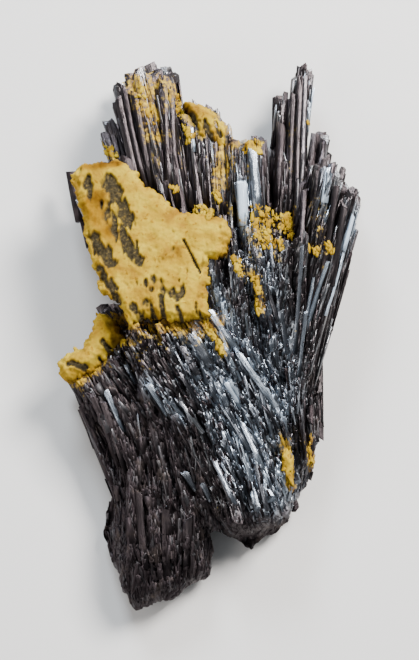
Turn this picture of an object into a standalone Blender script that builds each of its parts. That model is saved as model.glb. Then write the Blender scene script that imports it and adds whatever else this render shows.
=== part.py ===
"""A stibnite specimen: a spray of bladed crystals grown together, with crusts of yellow ochre on it.

The spray lies on its broken back. It fans out from the foot end, at -Y, to the free tips at +Y.
Every blade belongs to a bundle, and a bundle is a loft of blades from a root to a tip. The ochre is
another mineral that grew over the blades, so each crust is a solid of its own in a pocket of the spray.
"""

import math
import random
from collections import namedtuple

import bmesh
import bpy
from mathutils import Matrix, Vector, noise

# Driving dimensions. Lengths in the tables below are in millimetres, and MM turns them into metres.
MM = 0.001
SPRAY_LENGTH = 86.0
SEAT_GAP = 0.3
POCKET_GROWTH = 0.45
FLAT_ANGLE = math.radians(1)
FIRST_WELD = 0.00001
SPOT_WELDS = (0.01, 0.02, 0.03, 0.05, 0.08, 0.1)
FLOOR_TRIM = 30.0
SEED = 18

# Where the middle of the footprint lies in the layout below, and the height the underside is cut at.
FOOTPRINT_CENTRE = (0.57, 1.05)
UNDERSIDE = 2.5

# The upper side was laid out as it is seen by an eye above it that stands a little towards the foot.
EYE_DISTANCE = 420.0
EYE_ELEVATION = math.radians(80)
SIGHT_HEIGHT = 12.0

# A blade's cross-section, and how it tapers and ends.
BLADE_SIDES = 5
ROOT_TAPER = 0.6
TIP_TAPER = 0.82
OVERLENGTH = 0.06
SHORTEST_EDGE = 0.05
LOWEST_AXIS = 0.4

Bundle = namedtuple(
    "Bundle",
    "name root tip half_width half_depth grid blade ends",
)
Blade = namedtuple("Blade", "root tip width thickness roll end_tilt")
Crust = namedtuple("Crust", "name outline height lean thickness lump faces")

# root and tip are (right, up, height), half_width and half_depth are (at the root, at the tip), grid is
# (blades across, layers), blade is (width, thickness), and ends is (how much further the right-hand tips
# reach than the left-hand ones, how far the middle tips stand out, how unevenly the tips end).
BUNDLES = [
    Bundle("upper_left_blades", (-1.5, 3.0, 12.0), (-9.4, 39.2, 10.4),
           (2.4, 5.6), (5.0, 6.6), (4, 3), (3.4, 2.8), (0.6, 0.8, 1.0)),
    Bundle("upper_left_step", (-5.5, 6.0, 11.0), (-14.9, 32.8, 9.0),
           (1.6, 1.3), (4.0, 3.5), (2, 2), (2.6, 1.8), (1.0, 0.0, 1.4)),
    Bundle("upper_middle_blades", (2.6, 5.0, 12.0), (0.2, 34.6, 9.6),
           (2.2, 3.6), (6.0, 7.0), (4, 2), (2.6, 3.2), (-4.5, 0.0, 1.2)),
    Bundle("middle_prisms", (9.0, 2.7, 12.5), (6.4, 30.0, 11.2),
           (2.0, 2.9), (6.0, 7.0), (3, 3), (2.6, 2.6), (0.5, 0.0, 0.8)),
    Bundle("tall_blade", (11.6, 4.0, 9.5), (15.2, 41.0, 9.5),
           (0.9, 0.7), (1.6, 1.0), (2, 2), (3.4, 2.0), (-1.0, 0.0, 0.4)),
    Bundle("tall_blade_step", (10.4, 5.0, 8.5), (11.7, 36.6, 8.8),
           (0.8, 0.5), (1.4, 1.0), (1, 2), (2.6, 1.8), (0.0, 0.0, 0.6)),
    Bundle("tall_blade_stub", (14.4, 5.0, 8.0), (17.9, 31.2, 7.5),
           (0.9, 0.9), (2.0, 2.0), (2, 2), (2.2, 1.6), (-0.6, 0.0, 0.6)),
    Bundle("recess_blades", (12.4, 2.7, 8.5), (12.8, 28.6, 7.5),
           (3.0, 3.8), (4.5, 5.5), (4, 2), (2.8, 2.8), (-1.0, 0.0, 2.0)),
    Bundle("right_fan", (12.6, -14.0, 10.0), (20.4, 23.6, 10.0),
           (1.6, 4.2), (4.0, 7.6), (5, 3), (2.6, 2.8), (-6.0, 1.0, 1.4)),
    Bundle("right_edge", (15.2, -10.5, 8.5), (22.0, 13.6, 8.5),
           (0.8, 0.8), (3.5, 4.0), (2, 2), (2.2, 1.8), (-1.0, 0.0, 1.4)),
    Bundle("right_flank", (16.6, 3.0, 7.5), (15.6, -21.6, 8.0),
           (1.2, 2.2), (4.0, 5.0), (2, 3), (2.8, 2.0), (2.0, 0.0, 1.4)),
    Bundle("centre_fan", (12.6, -20.0, 11.0), (8.8, 16.4, 17.2),
           (3.0, 6.6), (0.0, 0.0), (7, 1), (2.6, 2.0), (-1.0, 0.0, 3.0)),
    Bundle("plateau_blades", (1.5, -16.0, 9.0), (-15.0, 24.4, 12.0),
           (4.6, 5.6), (5.0, 9.4), (4, 3), (3.8, 4.0), (3.4, 0.0, 0.8)),
    Bundle("plateau_right", (6.0, -14.4, 10.5), (-1.0, 17.6, 14.2),
           (4.6, 5.2), (5.0, 9.0), (4, 2), (3.8, 3.6), (-5.0, 0.0, 1.2)),
    Bundle("notch_blades", (-3.0, -18.0, 8.5), (-14.6, 4.4, 8.5),
           (2.0, 1.8), (3.5, 4.0), (2, 2), (3.0, 2.4), (0.0, 0.0, 1.0)),
    Bundle("left_fan", (-3.5, -24.0, 7.5), (-18.4, -1.6, 7.4),
           (7.6, 5.2), (4.0, 7.4), (5, 2), (3.6, 3.6), (0.0, 0.4, 1.0)),
    Bundle("left_flank", (-12.0, -27.0, 6.5), (-19.2, -8.2, 6.0),
           (1.4, 0.9), (3.0, 3.0), (2, 2), (2.8, 2.2), (0.0, 0.0, 1.2)),
    Bundle("middle_face", (9.4, -25.0, 12.4), (-4.4, 4.4, 18.2),
           (7.0, 8.6), (0.0, 0.0), (7, 1), (3.4, 2.4), (1.0, 0.0, 3.0)),
    Bundle("lower_left_face", (-7.0, 1.0, 16.4), (0.0, -29.0, 10.4),
           (5.0, 5.0), (0.0, 0.0), (5, 1), (3.4, 2.4), (2.0, 0.0, 2.0)),
    Bundle("lower_right", (1.5, -6.0, 9.5), (8.8, -30.4, 8.4),
           (6.6, 7.6), (5.0, 8.4), (5, 2), (3.8, 3.8), (-1.0, 2.0, 1.2)),
    Bundle("foot", (-6.4, -6.0, 7.0), (-7.2, -38.8, 6.5),
           (7.4, 8.6), (4.5, 5.0), (4, 3), (4.6, 2.8), (-3.4, 3.0, 0.8)),
]

# The solid heart where the bundles meet: (right, up, height) and half sizes.
HEARTS = [
    ((0.0, -9.0, 8.4), (12.5, 15.0, 6.4)),
    ((-5.0, 9.0, 8.4), (8.5, 15.0, 7.4)),
    ((9.5, 4.0, 7.4), (7.5, 16.0, 5.8)),
    ((-6.5, -26.0, 6.4), (7.0, 9.0, 4.6)),
]

CRUSTS = [
    Crust(
        "ochre_crust_plateau",
        [(-20.6, 24.8), (-19.2, 26.6), (-14.1, 27.4), (-12.0, 27.0), (-8.6, 23.2), (-4.4, 19.4), (2.6, 18.6),
         (4.5, 16.0), (2.6, 12.4), (0.8, 11.6), (0.1, 7.6), (0.8, 3.0), (-3.0, 2.2), (-8.6, 2.8), (-11.5, 1.6),
         (-13.6, 5.4), (-16.0, 6.6), (-18.1, 14.1), (-20.0, 21.5)],
        18.8, (-0.10, 0.02), 2.4, 0.5, 460,
    ),
    Crust(
        "ochre_crust_left_arm",
        [(-16.8, 3.0), (-14.4, 3.0), (-12.8, 0.0), (-14.4, -2.8), (-17.6, -6.0), (-21.2, -7.2), (-23.0, -4.9),
         (-21.8, -3.1), (-18.9, -2.2), (-17.4, 0.6)],
        11.8, (-0.22, 0.10), 3.0, 0.6, 220,
    ),
    Crust(
        "ochre_crust_upper_rim",
        [(-3.6, 36.6), (-0.2, 35.6), (1.8, 34.4), (3.4, 31.9), (3.1, 29.4), (1.0, 29.0), (-0.7, 31.0), (-2.6, 33.2)],
        13.4, (0.05, 0.06), 2.6, 0.5, 180,
    ),
]

# Small lumps of ochre, seated where the line of sight meets the blades:
# (name, (right, up), half sizes, turn in degrees about the vertical).
KNOBS = [
    ("ochre_knob_left", (2.1, 24.6), (1.0, 1.9, 1.0), 8),
    ("ochre_knob_prism_tip", (7.0, 29.0), (1.3, 1.2, 1.1), 20),
    ("ochre_scale_right_fan", (17.6, 18.4), (0.9, 3.0, 0.9), 10),
    ("ochre_scale_lower_right", (12.9, -19.8), (0.8, 3.0, 0.9), -6),
]


def to_frame():
    """From the layout, in millimetres, to the part's own frame, in metres."""
    shift = Vector((-FOOTPRINT_CENTRE[0], -FOOTPRINT_CENTRE[1], -UNDERSIDE))
    return Matrix.Scale(MM, 4) @ Matrix.Translation(shift)


def eye():
    """The eye's place in the layout, in millimetres."""
    back = Vector((0, -math.cos(EYE_ELEVATION), math.sin(EYE_ELEVATION)))
    return Vector((0, 0, SIGHT_HEIGHT)) + back * EYE_DISTANCE


def sight_point(right, up):
    """The point seen right and up of the middle, on the plane that faces the eye."""
    upward = Vector((0, math.sin(EYE_ELEVATION), math.cos(EYE_ELEVATION)))
    return Vector((0, 0, SIGHT_HEIGHT)) + Vector((1, 0, 0)) * right + upward * up


def seen(right, up, height):
    """The point at that height on the line of sight through (right, up), in millimetres."""
    start, through = eye(), sight_point(right, up)
    share = (height - start.z) / (through.z - start.z)
    return start + (through - start) * share


def blades_of(bundle, draw):
    """The blades of a bundle, in staggered layers from its lower side to its upper side."""
    root, tip = Vector(bundle.root), Vector(bundle.tip)
    along = Vector((tip.x - root.x, tip.y - root.y, 0)).normalized()
    aside = Vector((along.y, -along.x, 0))
    if aside.x < 0:
        aside.negate()
    across, layers = bundle.grid
    slant, bow, stagger = bundle.ends
    for layer in range(layers):
        deep = 2 * (layer + 0.5) / layers - 1
        reach = math.sqrt(1 - 0.6 * deep * deep)
        for place in range(across):
            side = 2 * (place + 0.5 + 0.25 * (layer % 2)) / (across + 0.25) - 1
            side = reach * side + draw.uniform(-0.12, 0.12)
            ends = []
            for centre, which in ((root, 0), (tip, 1)):
                spot = centre + aside * side * bundle.half_width[which]
                spot.z = centre.z + deep * bundle.half_depth[which] + draw.uniform(-0.5, 0.5)
                ends.append(spot)
            ends[1] += along * (slant / 2 * side + bow * (1 - side * side) - draw.random() * stagger * 2)
            low, high = (seen(p.x, p.y, max(p.z, LOWEST_AXIS)) for p in ends)
            width = bundle.blade[0] * draw.uniform(0.85, 1.2)
            thickness = bundle.blade[1] * draw.uniform(0.85, 1.2)
            yield Blade(low, high, width, thickness, draw.uniform(-50, 50), draw.uniform(20, 50))


def cut_end(body, height, tilt, turn):
    """Slices the end of an upright blade by a plane that leans by tilt, towards turn."""
    lean = Matrix.Rotation(turn, 4, "Z") @ Matrix.Rotation(tilt, 4, "Y")
    geometry = body.verts[:] + body.edges[:] + body.faces[:]
    done = bmesh.ops.bisect_plane(
        body,
        geom=geometry,
        plane_co=Vector((0, 0, height)),
        plane_no=lean @ Vector((0, 0, 1)),
        clear_outer=True,
    )
    rim = [item for item in done["geom_cut"] if isinstance(item, bmesh.types.BMEdge)]
    bmesh.ops.holes_fill(body, edges=rim)


def blade_object(name, blade, collection):
    """One crystal: a five-sided tapered prism with a slanting end, lying from its root to its tip."""
    axis = blade.tip - blade.root
    length = axis.length * (1 + OVERLENGTH)
    body = bmesh.new()
    bmesh.ops.create_cone(
        body,
        cap_ends=True,
        segments=BLADE_SIDES,
        radius1=0.5 * ROOT_TAPER,
        radius2=0.5 * TIP_TAPER,
        depth=1,
        matrix=Matrix.Translation((0, 0, 0.5)),
    )
    bmesh.ops.scale(body, vec=(blade.width, blade.thickness, length), verts=body.verts)
    end = length - blade.thickness / 2
    cut_end(body, end, math.radians(blade.end_tilt), 0)
    cut_end(body, end, math.radians(blade.end_tilt * 0.6), math.pi)
    bmesh.ops.remove_doubles(body, verts=body.verts, dist=SHORTEST_EDGE)
    bmesh.ops.dissolve_degenerate(body, edges=body.edges, dist=SHORTEST_EDGE)
    turn = axis.to_track_quat("Z", "Y").to_matrix().to_4x4()
    place = Matrix.Translation(blade.root) @ turn @ Matrix.Rotation(math.radians(blade.roll), 4, "Z")
    body.transform(place)
    bmesh.ops.recalc_face_normals(body, faces=body.faces)
    return add_mesh(name, body, collection)


def add_mesh(name, body, collection):
    """An object from a mesh in the layout's millimetres."""
    body.transform(to_frame())
    mesh = bpy.data.meshes.new(name)
    body.to_mesh(mesh)
    body.free()
    made = bpy.data.objects.new(name, mesh)
    collection.objects.link(made)
    return made


def heart_object(name, place, half_sizes, collection):
    """A rough lump inside the spray that the bundles grow out of."""
    body = bmesh.new()
    bmesh.ops.create_icosphere(body, subdivisions=2, radius=1)
    centre = seen(*place)
    for vert in body.verts:
        rough = 1 + 0.22 * noise.noise(vert.co * 2.5 + centre * 0.1)
        vert.co = Vector(a * b * rough for a, b in zip(vert.co, half_sizes)) + centre
    return add_mesh(name, body, collection)


def box_object(name, low, high, collection):
    body = bmesh.new()
    bmesh.ops.create_cube(body, size=1)
    size = Vector(high) - Vector(low)
    middle = (Vector(high) + Vector(low)) / 2
    bmesh.ops.scale(body, vec=size, verts=body.verts)
    bmesh.ops.translate(body, vec=middle, verts=body.verts)
    return add_mesh(name, body, collection)


def crust_plane(crust):
    """Where a crust's underside lies: its middle, and the turn that lays a flat thing on it."""
    count = len(crust.outline)
    right = sum(point[0] for point in crust.outline) / count
    up = sum(point[1] for point in crust.outline) / count
    normal = Vector((crust.lean[0], crust.lean[1], 1)).normalized()
    turn = Vector((0, 0, 1)).rotation_difference(normal).to_matrix().to_4x4()
    return Matrix.Translation(seen(right, up, crust.height)) @ turn


def on_plane(plane, right, up):
    """Where the line of sight through (right, up) meets a plane, in that plane's own axes."""
    start = eye()
    ray = sight_point(right, up) - start
    normal = plane.to_3x3() @ Vector((0, 0, 1))
    share = normal.dot(plane.translation - start) / normal.dot(ray)
    return plane.inverted() @ (start + ray * share)


def flat_outline(name, crust, low, high, collection):
    """The crust's outline as a flat plate from low to high above its plane, as a mesh with welded caps."""
    plane = crust_plane(crust)
    middle = (low + high) / 2
    outline = bpy.data.curves.new(name + "_outline", "CURVE")
    outline.dimensions = "2D"
    outline.fill_mode = "BOTH"
    outline.extrude = (high - low) / 2 * MM
    spline = outline.splines.new("POLY")
    spline.points.add(len(crust.outline) - 1)
    for point, (right, up) in zip(spline.points, crust.outline):
        spot = on_plane(plane, right, up)
        point.co = (spot.x * MM, spot.y * MM, 0, 1)
    spline.use_cyclic_u = True
    guide = bpy.data.objects.new(name + "_outline", outline)
    collection.objects.link(guide)
    guide.matrix_world = to_frame() @ plane @ Matrix.Translation((0, 0, middle)) @ Matrix.Scale(1 / MM, 4)
    bpy.context.view_layer.update()
    mesh = bpy.data.meshes.new_from_object(guide.evaluated_get(bpy.context.evaluated_depsgraph_get()))
    plate = bpy.data.objects.new(name, mesh)
    plate.matrix_world = guide.matrix_world.copy()
    bpy.data.objects.remove(guide)
    body = bmesh.new()
    body.from_mesh(mesh)
    bmesh.ops.remove_doubles(body, verts=body.verts, dist=0.00001)
    bmesh.ops.recalc_face_normals(body, faces=body.faces)
    body.to_mesh(mesh)
    body.free()
    collection.objects.link(plate)
    return plate


def lumpy(plate, lump, faces, voxel, grown=0):
    """Turns a plain plate into a rough crust: remeshed, pushed about by noise, and thinned again."""
    remesh = plate.modifiers.new("even_mesh", "REMESH")
    remesh.mode = "VOXEL"
    remesh.voxel_size = voxel * MM
    clouds = bpy.data.textures.new(plate.name + "_lumps", "CLOUDS")
    clouds.noise_scale = 3.0 * MM
    push = plate.modifiers.new("lumps", "DISPLACE")
    push.texture = clouds
    push.texture_coords = "GLOBAL"
    push.strength = lump * 2 * MM
    push.mid_level = 0.5
    if grown:
        grow = plate.modifiers.new("grow", "DISPLACE")
        grow.strength = grown * MM
        grow.mid_level = 0
    thin = plate.modifiers.new("fewer_faces", "DECIMATE")
    thin.ratio = 1.0
    bpy.context.view_layer.update()
    count = len(plate.evaluated_get(bpy.context.evaluated_depsgraph_get()).data.polygons)
    thin.ratio = min(1.0, faces / (2 * count))


def grown_copy(source, name, distance, collection):
    """A copy of a solid, grown by a distance all round, for cutting the pocket it sits in."""
    bpy.context.view_layer.update()
    graph = bpy.context.evaluated_depsgraph_get()
    mesh = bpy.data.meshes.new_from_object(source.evaluated_get(graph))
    copy = bpy.data.objects.new(name, mesh)
    copy.matrix_world = source.matrix_world.copy()
    collection.objects.link(copy)
    grow = copy.modifiers.new("grow", "DISPLACE")
    grow.strength = distance * MM
    grow.mid_level = 0
    return copy


def seat_on(spray, right, up):
    """Where the line of sight through (right, up) meets the spray, in millimetres."""
    start = eye()
    ray = (sight_point(right, up) - start).normalized()
    hit, place, _, _ = spray.ray_cast(to_frame() @ start, ray)
    if not hit:
        raise ValueError(f"nothing to seat on at {right}, {up}")
    return to_frame().inverted() @ place


def knob_object(name, centre, half_sizes, turn, collection):
    """A small lump of ochre, rough all over."""
    body = bmesh.new()
    bmesh.ops.create_icosphere(body, subdivisions=2, radius=1)
    spin = Matrix.Rotation(math.radians(-turn), 3, "Z")
    for vert in body.verts:
        rough = 1 + 0.3 * noise.noise(vert.co * 1.8 + centre)
        vert.co = spin @ Vector(a * b * rough for a, b in zip(vert.co, half_sizes)) + centre
    return add_mesh(name, body, collection)


def add_boolean(target, operation, operand):
    """A Boolean with an object or with a whole collection."""
    cut = target.modifiers.new(operand.name, "BOOLEAN")
    cut.operation = operation
    cut.solver = "EXACT"
    if isinstance(operand, bpy.types.Collection):
        cut.operand_type = "COLLECTION"
        cut.collection = operand
    else:
        cut.object = operand


def open_edges(body):
    return [edge for edge in body.edges if len(edge.link_faces) != 2]


def close_up(body):
    """Welds what the Booleans leave apart, then mends each spot where the skin is still not closed."""
    bmesh.ops.remove_doubles(body, verts=body.verts, dist=FIRST_WELD * MM)
    bmesh.ops.dissolve_degenerate(body, edges=body.edges, dist=FIRST_WELD * MM)
    bmesh.ops.triangulate(body, faces=body.faces)
    for weld in SPOT_WELDS:
        spots = {vert for edge in open_edges(body) for vert in edge.verts}
        if not spots:
            break
        near = spots | {edge.other_vert(vert) for vert in spots for edge in vert.link_edges}
        bmesh.ops.remove_doubles(body, verts=list(near), dist=weld * MM)
        loose = [edge for edge in body.edges if not edge.link_faces]
        bmesh.ops.delete(body, geom=loose, context="EDGES")
        bmesh.ops.dissolve_degenerate(body, edges=body.edges, dist=weld / 10 * MM)
        rims = [edge for edge in body.edges if len(edge.link_faces) == 1]
        bmesh.ops.holes_fill(body, edges=rims, sides=12)
        bmesh.ops.triangulate(body, faces=body.faces)


def drop_chips(body):
    """Keeps the largest connected body, and drops the chips that the cuts freed."""
    left, bodies = set(body.verts), []
    while left:
        found, edge = set(), [left.pop()]
        while edge:
            vert = edge.pop()
            found.add(vert)
            near = {link.other_vert(vert) for link in vert.link_edges} & left
            left -= near
            edge += near
        bodies.append(found)
    bodies.sort(key=len)
    for chip in bodies[:-1]:
        bmesh.ops.delete(body, geom=list(chip), context="VERTS")


def settle(thing):
    """Applies an object's Booleans to its mesh, closes the skin and keeps one body."""
    bpy.context.view_layer.update()
    graph = bpy.context.evaluated_depsgraph_get()
    mesh = bpy.data.meshes.new_from_object(thing.evaluated_get(graph))
    body = bmesh.new()
    body.from_mesh(mesh)
    close_up(body)
    drop_chips(body)
    bmesh.ops.dissolve_limit(body, angle_limit=FLAT_ANGLE, verts=body.verts, edges=body.edges)
    close_up(body)
    body.to_mesh(mesh)
    body.free()
    thing.modifiers.clear()
    thing.data = mesh


def material(name, colour, roughness, metallic):
    made = bpy.data.materials.new(name)
    made.use_nodes = True
    shader = made.node_tree.nodes["Principled BSDF"]
    shader.inputs["Base Color"].default_value = (*colour, 1)
    shader.inputs["Roughness"].default_value = roughness
    shader.inputs["Metallic"].default_value = metallic
    return made


def new_collection(name, helper=False):
    made = bpy.data.collections.new(name)
    bpy.context.scene.collection.children.link(made)
    made.hide_render = helper
    return made


def as_helper(thing):
    thing.hide_render = True
    thing.display_type = "WIRE"


def grow_spray(specimen, blades, hearts):
    """The crystals and the hearts between them, joined in one solid."""
    draw = random.Random(SEED)
    for bundle in BUNDLES:
        for number, blade in enumerate(blades_of(bundle, draw)):
            as_helper(blade_object(f"{bundle.name}_{number}", blade, blades))
    for number, (place, half_sizes) in enumerate(HEARTS[1:]):
        as_helper(heart_object(f"heart_{number}", place, half_sizes, hearts))
    spray = heart_object("stibnite_crystals", *HEARTS[0], specimen)
    add_boolean(spray, "UNION", hearts)
    add_boolean(spray, "UNION", blades)
    settle(spray)
    return spray


def grow_crusts(spray, specimen, cutters):
    """The ochre, and for each piece of it the cutter that makes room for it in the spray."""
    ochre = []
    for crust in CRUSTS:
        plate = flat_outline(crust.name, crust, 0, crust.thickness, specimen)
        lumpy(plate, crust.lump, crust.faces, 0.6)
        ochre.append(plate)
        pocket = flat_outline(crust.name + "_pocket", crust, 0, crust.thickness + 12, cutters)
        lumpy(pocket, crust.lump, crust.faces * 1.3, 0.6, POCKET_GROWTH)
        as_helper(pocket)
    for name, (right, up), half_sizes, turn in KNOBS:
        knob = knob_object(name, seat_on(spray, right, up), half_sizes, turn, specimen)
        ochre.append(knob)
        as_helper(grown_copy(knob, name + "_pocket", SEAT_GAP, cutters))
    return ochre


def main():
    for thing in list(bpy.data.objects):
        bpy.data.objects.remove(thing)
    specimen = new_collection("stibnite_specimen")
    blades = new_collection("blades", helper=True)
    hearts = new_collection("hearts", helper=True)
    cutters = new_collection("cutters", helper=True)

    spray = grow_spray(specimen, blades, hearts)
    ochre = grow_crusts(spray, specimen, cutters)
    reach = SPRAY_LENGTH
    floor = box_object("floor_trim", (-reach, -reach, -FLOOR_TRIM), (reach, reach, UNDERSIDE), cutters)
    as_helper(floor)
    add_boolean(spray, "DIFFERENCE", cutters)
    settle(spray)

    spray.data.materials.append(material("stibnite", (0.13, 0.13, 0.14), 0.3, 1.0))
    ochre_colour = material("ochre", (0.66, 0.48, 0.17), 0.9, 0.0)
    for piece in ochre:
        piece.data.materials.append(ochre_colour)


if __name__ == "__main__":
    main()
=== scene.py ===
import math
import random
from collections import namedtuple

import bmesh
import bpy
import numpy as np
from mathutils import Matrix, Vector, noise
from mathutils.bvhtree import BVHTree


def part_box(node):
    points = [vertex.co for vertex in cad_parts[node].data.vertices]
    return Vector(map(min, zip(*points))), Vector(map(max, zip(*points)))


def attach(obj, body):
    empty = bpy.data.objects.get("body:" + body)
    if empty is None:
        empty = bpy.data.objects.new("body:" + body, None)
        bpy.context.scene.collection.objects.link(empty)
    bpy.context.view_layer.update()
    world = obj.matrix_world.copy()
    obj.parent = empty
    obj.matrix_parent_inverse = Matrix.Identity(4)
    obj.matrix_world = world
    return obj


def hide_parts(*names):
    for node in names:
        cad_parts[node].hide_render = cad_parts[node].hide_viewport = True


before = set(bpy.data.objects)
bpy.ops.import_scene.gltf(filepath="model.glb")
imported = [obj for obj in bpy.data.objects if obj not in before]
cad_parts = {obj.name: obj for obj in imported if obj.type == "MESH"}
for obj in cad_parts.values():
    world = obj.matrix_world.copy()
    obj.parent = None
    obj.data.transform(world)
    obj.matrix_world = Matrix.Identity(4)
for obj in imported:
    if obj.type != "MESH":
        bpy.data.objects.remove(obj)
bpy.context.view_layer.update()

# The stibnite crystals.
# A spray of long metallic grey blades that grew together from a broken foot, each one grooved along its
# length. They are laid out in bundles, and each coarse blade of the solid carries a coat of finer ones.

# Where the layout below, in millimetres, lies in the part's own frame, and the eye it was laid out for.
MM = 0.001
SHIFT = np.array((-0.57, -1.05, -2.5))
EYE_DISTANCE = 420.0
EYE_ELEVATION = math.radians(80)
FOCUS = np.array((0.0, 0.0, 12.0))
BACK = np.array((0.0, -math.cos(EYE_ELEVATION), math.sin(EYE_ELEVATION)))
UPWARD = np.array((0.0, math.sin(EYE_ELEVATION), math.cos(EYE_ELEVATION)))
RIGHT = np.array((1.0, 0.0, 0.0))
EYE = FOCUS + BACK * EYE_DISTANCE


def sight(right, up):
    """The lines of sight through (right, up), as steps from the eye: one, or one for each of many places."""
    return FOCUS + np.multiply.outer(right, RIGHT) + np.multiply.outer(up, UPWARD) - EYE


def seen(right, up, height):
    """The layout point at that height on the line of sight through (right, up)."""
    ray = sight(right, up)
    return EYE + ray * ((height - EYE[2]) / ray[2])


def met(tree, ray):
    """Where a line of sight first meets the faces in a search tree, and the normal there."""
    return tree.ray_cast(Vector(EYE), Vector(ray).normalized())[:2]


def as_seen(points):
    """How far right and up each layout point is seen, as two arrays."""
    rays = points - EYE
    rays = rays * (EYE_DISTANCE / -(rays @ BACK))[:, None]
    return rays @ RIGHT, rays @ UPWARD


def smooth(value, low, high):
    """Rises softly from 0 at low to 1 at high."""
    share = np.clip((value - low) / (high - low), 0, 1)
    return share * share * (3 - 2 * share)


def touched(right, up, strokes):
    """How much each point lies under a list of soft strokes: (start, end, radius, strength)."""
    total = np.zeros(len(right))
    spot = np.stack((right, up), 1)
    for start, end, radius, strength in strokes:
        start, end = np.array(start, float), np.array(end, float)
        along = end - start
        share = np.clip((spot - start) @ along / max(along @ along, 1e-9), 0, 1)
        gap = np.linalg.norm(spot - start - share[:, None] * along, axis=1)
        total = np.maximum(total, strength * (1 - smooth(gap, 0.3 * radius, 1.3 * radius)))
    return total


def inside_by(spots, corners):
    """How far each spot lies inside a closed outline, below zero where it lies outside."""
    nearest = np.full(len(spots), np.inf)
    within = np.zeros(len(spots), bool)
    for start, end in zip(corners, np.roll(corners, -1, 0)):
        along = end - start
        share = np.clip((spots - start) @ along / (along @ along), 0, 1)
        nearest = np.minimum(nearest, np.linalg.norm(spots - start - share[:, None] * along, axis=1))
        crosses = (start[1] > spots[:, 1]) != (end[1] > spots[:, 1])
        with np.errstate(divide="ignore", invalid="ignore"):
            where = start[0] + (spots[:, 1] - start[1]) / (end[1] - start[1]) * along[0]
        within ^= crosses & (spots[:, 0] < where)
    return np.where(within, nearest, -nearest)


# A bundle's axis runs from root to tip. Half its width and depth are given at both ends, then how many blades
# it has across and in depth, how wide and thick they are, and how its tips slant, bow and stagger.
Bundle = namedtuple("Bundle", "name root tip half_width half_depth grid blade ends")
Blade = namedtuple("Blade", "name root tip width thickness roll end_tilt")
BUNDLES = [
    Bundle("upper_left_blades", (-1.5, 3, 12), (-9.4, 39.2, 10.4),
           (2.4, 5.6), (5, 6.6), (4, 3), (3.4, 2.8), (0.6, 0.8, 1)),
    Bundle("upper_left_step", (-5.5, 6, 11), (-14.9, 32.8, 9),
           (1.6, 1.3), (4, 3.5), (2, 2), (2.6, 1.8), (1, 0, 1.4)),
    Bundle("upper_middle_blades", (2.6, 5, 12), (0.2, 34.6, 9.6),
           (2.2, 3.6), (6, 7), (4, 2), (2.6, 3.2), (-4.5, 0, 1.2)),
    Bundle("middle_prisms", (9, 2.7, 12.5), (6.4, 30, 11.2),
           (2, 2.9), (6, 7), (3, 3), (2.6, 2.6), (0.5, 0, 0.8)),
    Bundle("tall_blade", (11.6, 4, 9.5), (15.2, 41, 9.5),
           (0.9, 0.7), (1.6, 1), (2, 2), (3.4, 2), (-1, 0, 0.4)),
    Bundle("tall_blade_step", (10.4, 5, 8.5), (11.7, 36.6, 8.8),
           (0.8, 0.5), (1.4, 1), (1, 2), (2.6, 1.8), (0, 0, 0.6)),
    Bundle("tall_blade_stub", (14.4, 5, 8), (17.9, 31.2, 7.5),
           (0.9, 0.9), (2, 2), (2, 2), (2.2, 1.6), (-0.6, 0, 0.6)),
    Bundle("recess_blades", (12.4, 2.7, 8.5), (12.8, 28.6, 7.5),
           (3, 3.8), (4.5, 5.5), (4, 2), (2.8, 2.8), (-1, 0, 2)),
    Bundle("right_fan", (12.6, -14, 10), (20.4, 23.6, 10),
           (1.6, 4.2), (4, 7.6), (5, 3), (2.6, 2.8), (-6, 1, 1.4)),
    Bundle("right_edge", (15.2, -10.5, 8.5), (22, 13.6, 8.5),
           (0.8, 0.8), (3.5, 4), (2, 2), (2.2, 1.8), (-1, 0, 1.4)),
    Bundle("right_flank", (16.6, 3, 7.5), (15.6, -21.6, 8),
           (1.2, 2.2), (4, 5), (2, 3), (2.8, 2), (2, 0, 1.4)),
    Bundle("centre_fan", (12.6, -20, 11), (8.8, 16.4, 17.2),
           (3, 6.6), (0, 0), (7, 1), (2.6, 2), (-1, 0, 3)),
    Bundle("plateau_blades", (1.5, -16, 9), (-15, 24.4, 12),
           (4.6, 5.6), (5, 9.4), (4, 3), (3.8, 4), (3.4, 0, 0.8)),
    Bundle("plateau_right", (6, -14.4, 10.5), (-1, 17.6, 14.2),
           (4.6, 5.2), (5, 9), (4, 2), (3.8, 3.6), (-5, 0, 1.2)),
    Bundle("notch_blades", (-3, -18, 8.5), (-14.6, 4.4, 8.5),
           (2, 1.8), (3.5, 4), (2, 2), (3, 2.4), (0, 0, 1)),
    Bundle("left_fan", (-3.5, -24, 7.5), (-18.4, -1.6, 7.4),
           (7.6, 5.2), (4, 7.4), (5, 2), (3.6, 3.6), (0, 0.4, 1)),
    Bundle("left_flank", (-12, -27, 6.5), (-19.2, -8.2, 6),
           (1.4, 0.9), (3, 3), (2, 2), (2.8, 2.2), (0, 0, 1.2)),
    Bundle("middle_face", (9.4, -25, 12.4), (-4.4, 4.4, 18.2),
           (7, 8.6), (0, 0), (7, 1), (3.4, 2.4), (1, 0, 3)),
    Bundle("lower_left_face", (-7, 1, 16.4), (0, -29, 10.4), (5, 5), (0, 0), (5, 1), (3.4, 2.4), (2, 0, 2)),
    Bundle("lower_right", (1.5, -6, 9.5), (8.8, -30.4, 8.4),
           (6.6, 7.6), (5, 8.4), (5, 2), (3.8, 3.8), (-1, 2, 1.2)),
    Bundle("foot", (-6.4, -6, 7), (-7.2, -38.8, 6.5),
           (7.4, 8.6), (4.5, 5), (4, 3), (4.6, 2.8), (-3.4, 3, 0.8)),
]
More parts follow.
